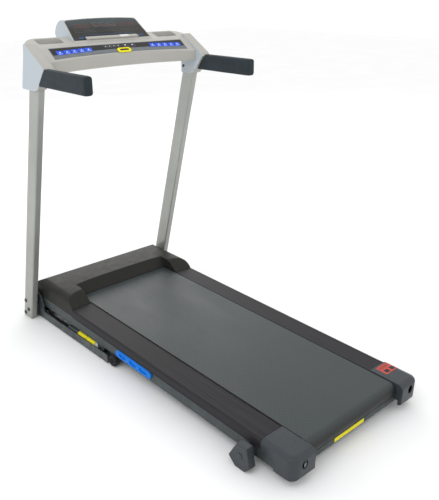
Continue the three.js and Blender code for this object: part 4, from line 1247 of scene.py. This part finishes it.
def build_display():
    piece("pod_shell", display_housing(), "base", "console_plastic", ("display_housing",))
    piece("pod_back", display_back(), "base", "console_plastic", ("display_back",))
    window = cut(prism(pod_face(3.9), "Z", -1.7, 0.6), block(-112, 112, -5, 22, -5, 20))
    piece("pod_window", soften(window, 0.5, 2, 40), "base", "lens", ("display_panel",), POD)
    piece("pod_ledge", ledge(), "base", "console_plastic", ("book_ledge",), POD)
    slope = Matrix.Translation((0, 4.2, 6.1)) @ Matrix.Rotation(math.atan2(-4.6, 15.8), 4, "X")
    tag = plate(rounded(31, 71, 0, 15.4, 0.8, 3), 0, 0.3, 0.05)
    piece("blank_tag", moved(tag, slope), "base", "console_plastic", (), POD, "white_film")
    for tint, marks in zip(("red", "blue", "grey"), lens_marks()):
        piece(f"lens_marks_{tint}", merged(marks), "base", "lens", (), POD, f"dim_{tint}_film")


# ---------------- handlebars

def foam_grip():
    """A foam sleeve: a soft rounded section with a domed end and a pressed ring near it."""
    x0, x1 = GRIP_X
    z0, z1 = GRIP_Z
    middle_x, middle_z = (x0 + x1) / 2, (z0 + z1) / 2
    shape = rounded(x0, x1, z0, z1, 8.5, 7)
    rings = [[(middle_x, GRIP_REAR, middle_z)]]
    stations = [(0, 0.55), (0, 0.8), (0.6, 0.885), (2, 0.94), (4.2, 0.975), (7, 0.985), (8, 0.968),
                (9, 0.985), (12, 0.995)]
    along = 16
    while GRIP_REAR + along < 1122:
        stations.append((along, 1 - 0.006 * math.sin(along / 46) ** 2))
        along += 6
    for y, scale in stations:
        shrink = (1 - scale) * 22
        ring = []
        for x, z in shape:
            dx, dz = x - middle_x, z - middle_z
            reach = math.hypot(dx, dz)
            factor = max(0.05, 1 - shrink / reach) if scale > 0.6 else scale
            ring.append((middle_x + dx * factor, GRIP_REAR + y, middle_z + dz * factor))
        rings.append(ring)
    rings.append([(middle_x, GRIP_REAR + along, middle_z)])
    wing = moved(prism(WING, "X", 310, 370), Matrix.Translation((0, -0.6, 0)))
    return cut(skin(rings), wing, bar_space(0.3, 837.7, 1200))


def build_handlebars():
    for grip in pair("foam_sleeve", foam_grip, "base", "foam", "foam_grip"):
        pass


# ---------------- stickers

def wrapped(outlines, below, above):
    """Patches that lie over the end cap's top and shoulder."""
    patches = merged([prism(outline, "Z", 90, 110) for outline in outlines])
    over_cap = cut(cap_block(-above, CAP_IN, 310), cap_block(-below, CAP_IN - 5, 315))
    return overlap(over_cap, patches)


def build_stickers():
    """Plain coloured labels where the real machine has printed ones, without any lettering."""
    bars = [rectangle(239, 297, y, y + 2.4) for y in (103, 108, 113)]
    boxes = [rounded(x, x + 20, 80, 96, 1.5, 3) for x in (243, 272)]
    for name, outlines, below, above, film in (
        ("cap_label", [rounded(235, 301, 76, 120, 2, 4)], 0.02, 0.28, "red_film"),
        ("cap_label_bars", bars, 0.2, 0.36, "dim_red_film"),
        ("cap_label_boxes", boxes, 0.2, 0.36, "dark_film"),
    ):
        piece(name, wrapped(outlines, below, above), "deck", "cap_plastic", (), DECK, film)
    strip = soften(prism(rectangle(-81, 64, 24.5, 38.5), "Y", 35.65, 35.95), 0.05, 1, 40)
    piece("rear_label", strip, "deck", "yellow_plastic", (), DECK)


# ---------------- nodes kept from the CAD

KEPT = {
    "black_steel": ("base_frame", "deck_frame", "handlebar_right", "handlebar_left"),
    "bright_steel": ("hinge_pin_right", "hinge_pin_left", "rear_roller", "rear_axle", "front_roller",
                     "front_axle", "roller_adjuster_right", "roller_adjuster_left",
                     "motor_flywheel"),
    "circuit": ("circuit_board",),
    "board": ("running_board",),
    "motor_paint": ("drive_motor", "motor_controller"),
    "rubber": ("drive_belt",),
    "dark_plastic": ("belly_pan",),
}
ROUNDED_KEPT = ("base_frame", "deck_frame", "belly_pan", "motor_controller")
WELD_M, EDGE_M, EDGE_ANGLE = 0.00002, 0.0009, math.radians(40)


def dress(name, slot):
    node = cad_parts[name]
    node.data.materials.clear()
    # The roller adjusters, seen only down the end caps' holes, take the near-black film as painted
    # shade of those holes.
    node.data.materials.append(FILMS["black_zinc"] if "adjuster" in name else MATERIALS[slot])
    if name in ROUNDED_KEPT:
        node.modifiers.new("weld", "WELD").merge_threshold = WELD_M
        bevel = node.modifiers.new("edges", "BEVEL")
        bevel.width, bevel.segments = EDGE_M, 2
        bevel.limit_method, bevel.angle_limit = "ANGLE", EDGE_ANGLE


def dress_kept_nodes():
    for slot, names in KEPT.items():
        for name in names:
            dress(name, slot)


# ---------------- studio

def area_light(name, place, aim, size, power, color):
    data = bpy.data.lights.new(name, "AREA")
    data.shape = "RECTANGLE"
    data.size, data.size_y = size
    data.energy = power
    data.color = color
    light = bpy.data.objects.new(name, data)
    light.location = place
    light.rotation_euler = (Vector(aim) - Vector(place)).to_track_quat("-Z", "Y").to_euler()
    bpy.context.scene.collection.objects.link(light)


def build_studio():
    bm = bmesh.new()
    bmesh.ops.create_grid(bm, x_segments=24, y_segments=24, size=14)
    mesh = bpy.data.meshes.new("studio_floor")
    bm.to_mesh(mesh)
    bm.free()
    mesh.materials.append(floor_paint())
    floor = bpy.data.objects.new("studio_floor", mesh)
    floor.location.z = -0.0005
    bpy.context.scene.collection.objects.link(floor)
    area_light("key", (-2.6, -0.8, 3.4), (0, 0, 0.5), (2.4, 2.4), 26, (0.86, 0.94, 1))
    area_light("back", (2.5, 4.4, 2.4), (0, 0.3, 0.1), (3.2, 1.8), 48, (1, 0.98, 0.95))
    area_light("fill", (2.8, -2.2, 2.2), (0, 0, 0.4), (2.4, 2.4), 3, (1, 0.96, 0.92))
    world = bpy.data.worlds.new("studio")
    world.use_nodes = True
    background = world.node_tree.nodes["Background"]
    background.inputs["Color"].default_value = (1, 1, 1, 1)
    background.inputs["Strength"].default_value = 1.08
    bpy.context.scene.world = world
    bpy.context.scene.view_settings.view_transform = "Standard"


CAMERA_PLACE = (-1.3898, -1.6116, 1.2830)
CAMERA_TURNS = (42.71, -22.31, -0.12)


def build_camera():
    yaw, pitch, roll = (math.radians(turn) for turn in CAMERA_TURNS)
    level = math.cos(pitch)
    forward = Vector((math.sin(yaw) * level, math.cos(yaw) * level, math.sin(pitch)))
    right = Vector((math.cos(yaw), -math.sin(yaw), 0))
    up = right.cross(forward)
    turn = Matrix((right, up, -forward)).transposed().to_4x4() @ Matrix.Rotation(roll, 4, "Z")
    data = bpy.data.cameras.new("camera")
    data.lens = 46.77
    data.sensor_width = 36
    camera = bpy.data.objects.new("camera", data)
    camera.matrix_world = Matrix.Translation(CAMERA_PLACE) @ turn
    bpy.context.scene.collection.objects.link(camera)
    bpy.context.scene.camera = camera


# ---------------- the treadmill

build_camera()
build_studio()
build_uprights()
build_base()
build_deck_sides()
build_rear_feet()
build_hood()
build_strut()
build_console()
build_keypad()
build_display()
build_handlebars()
build_stickers()
dress_kept_nodes()
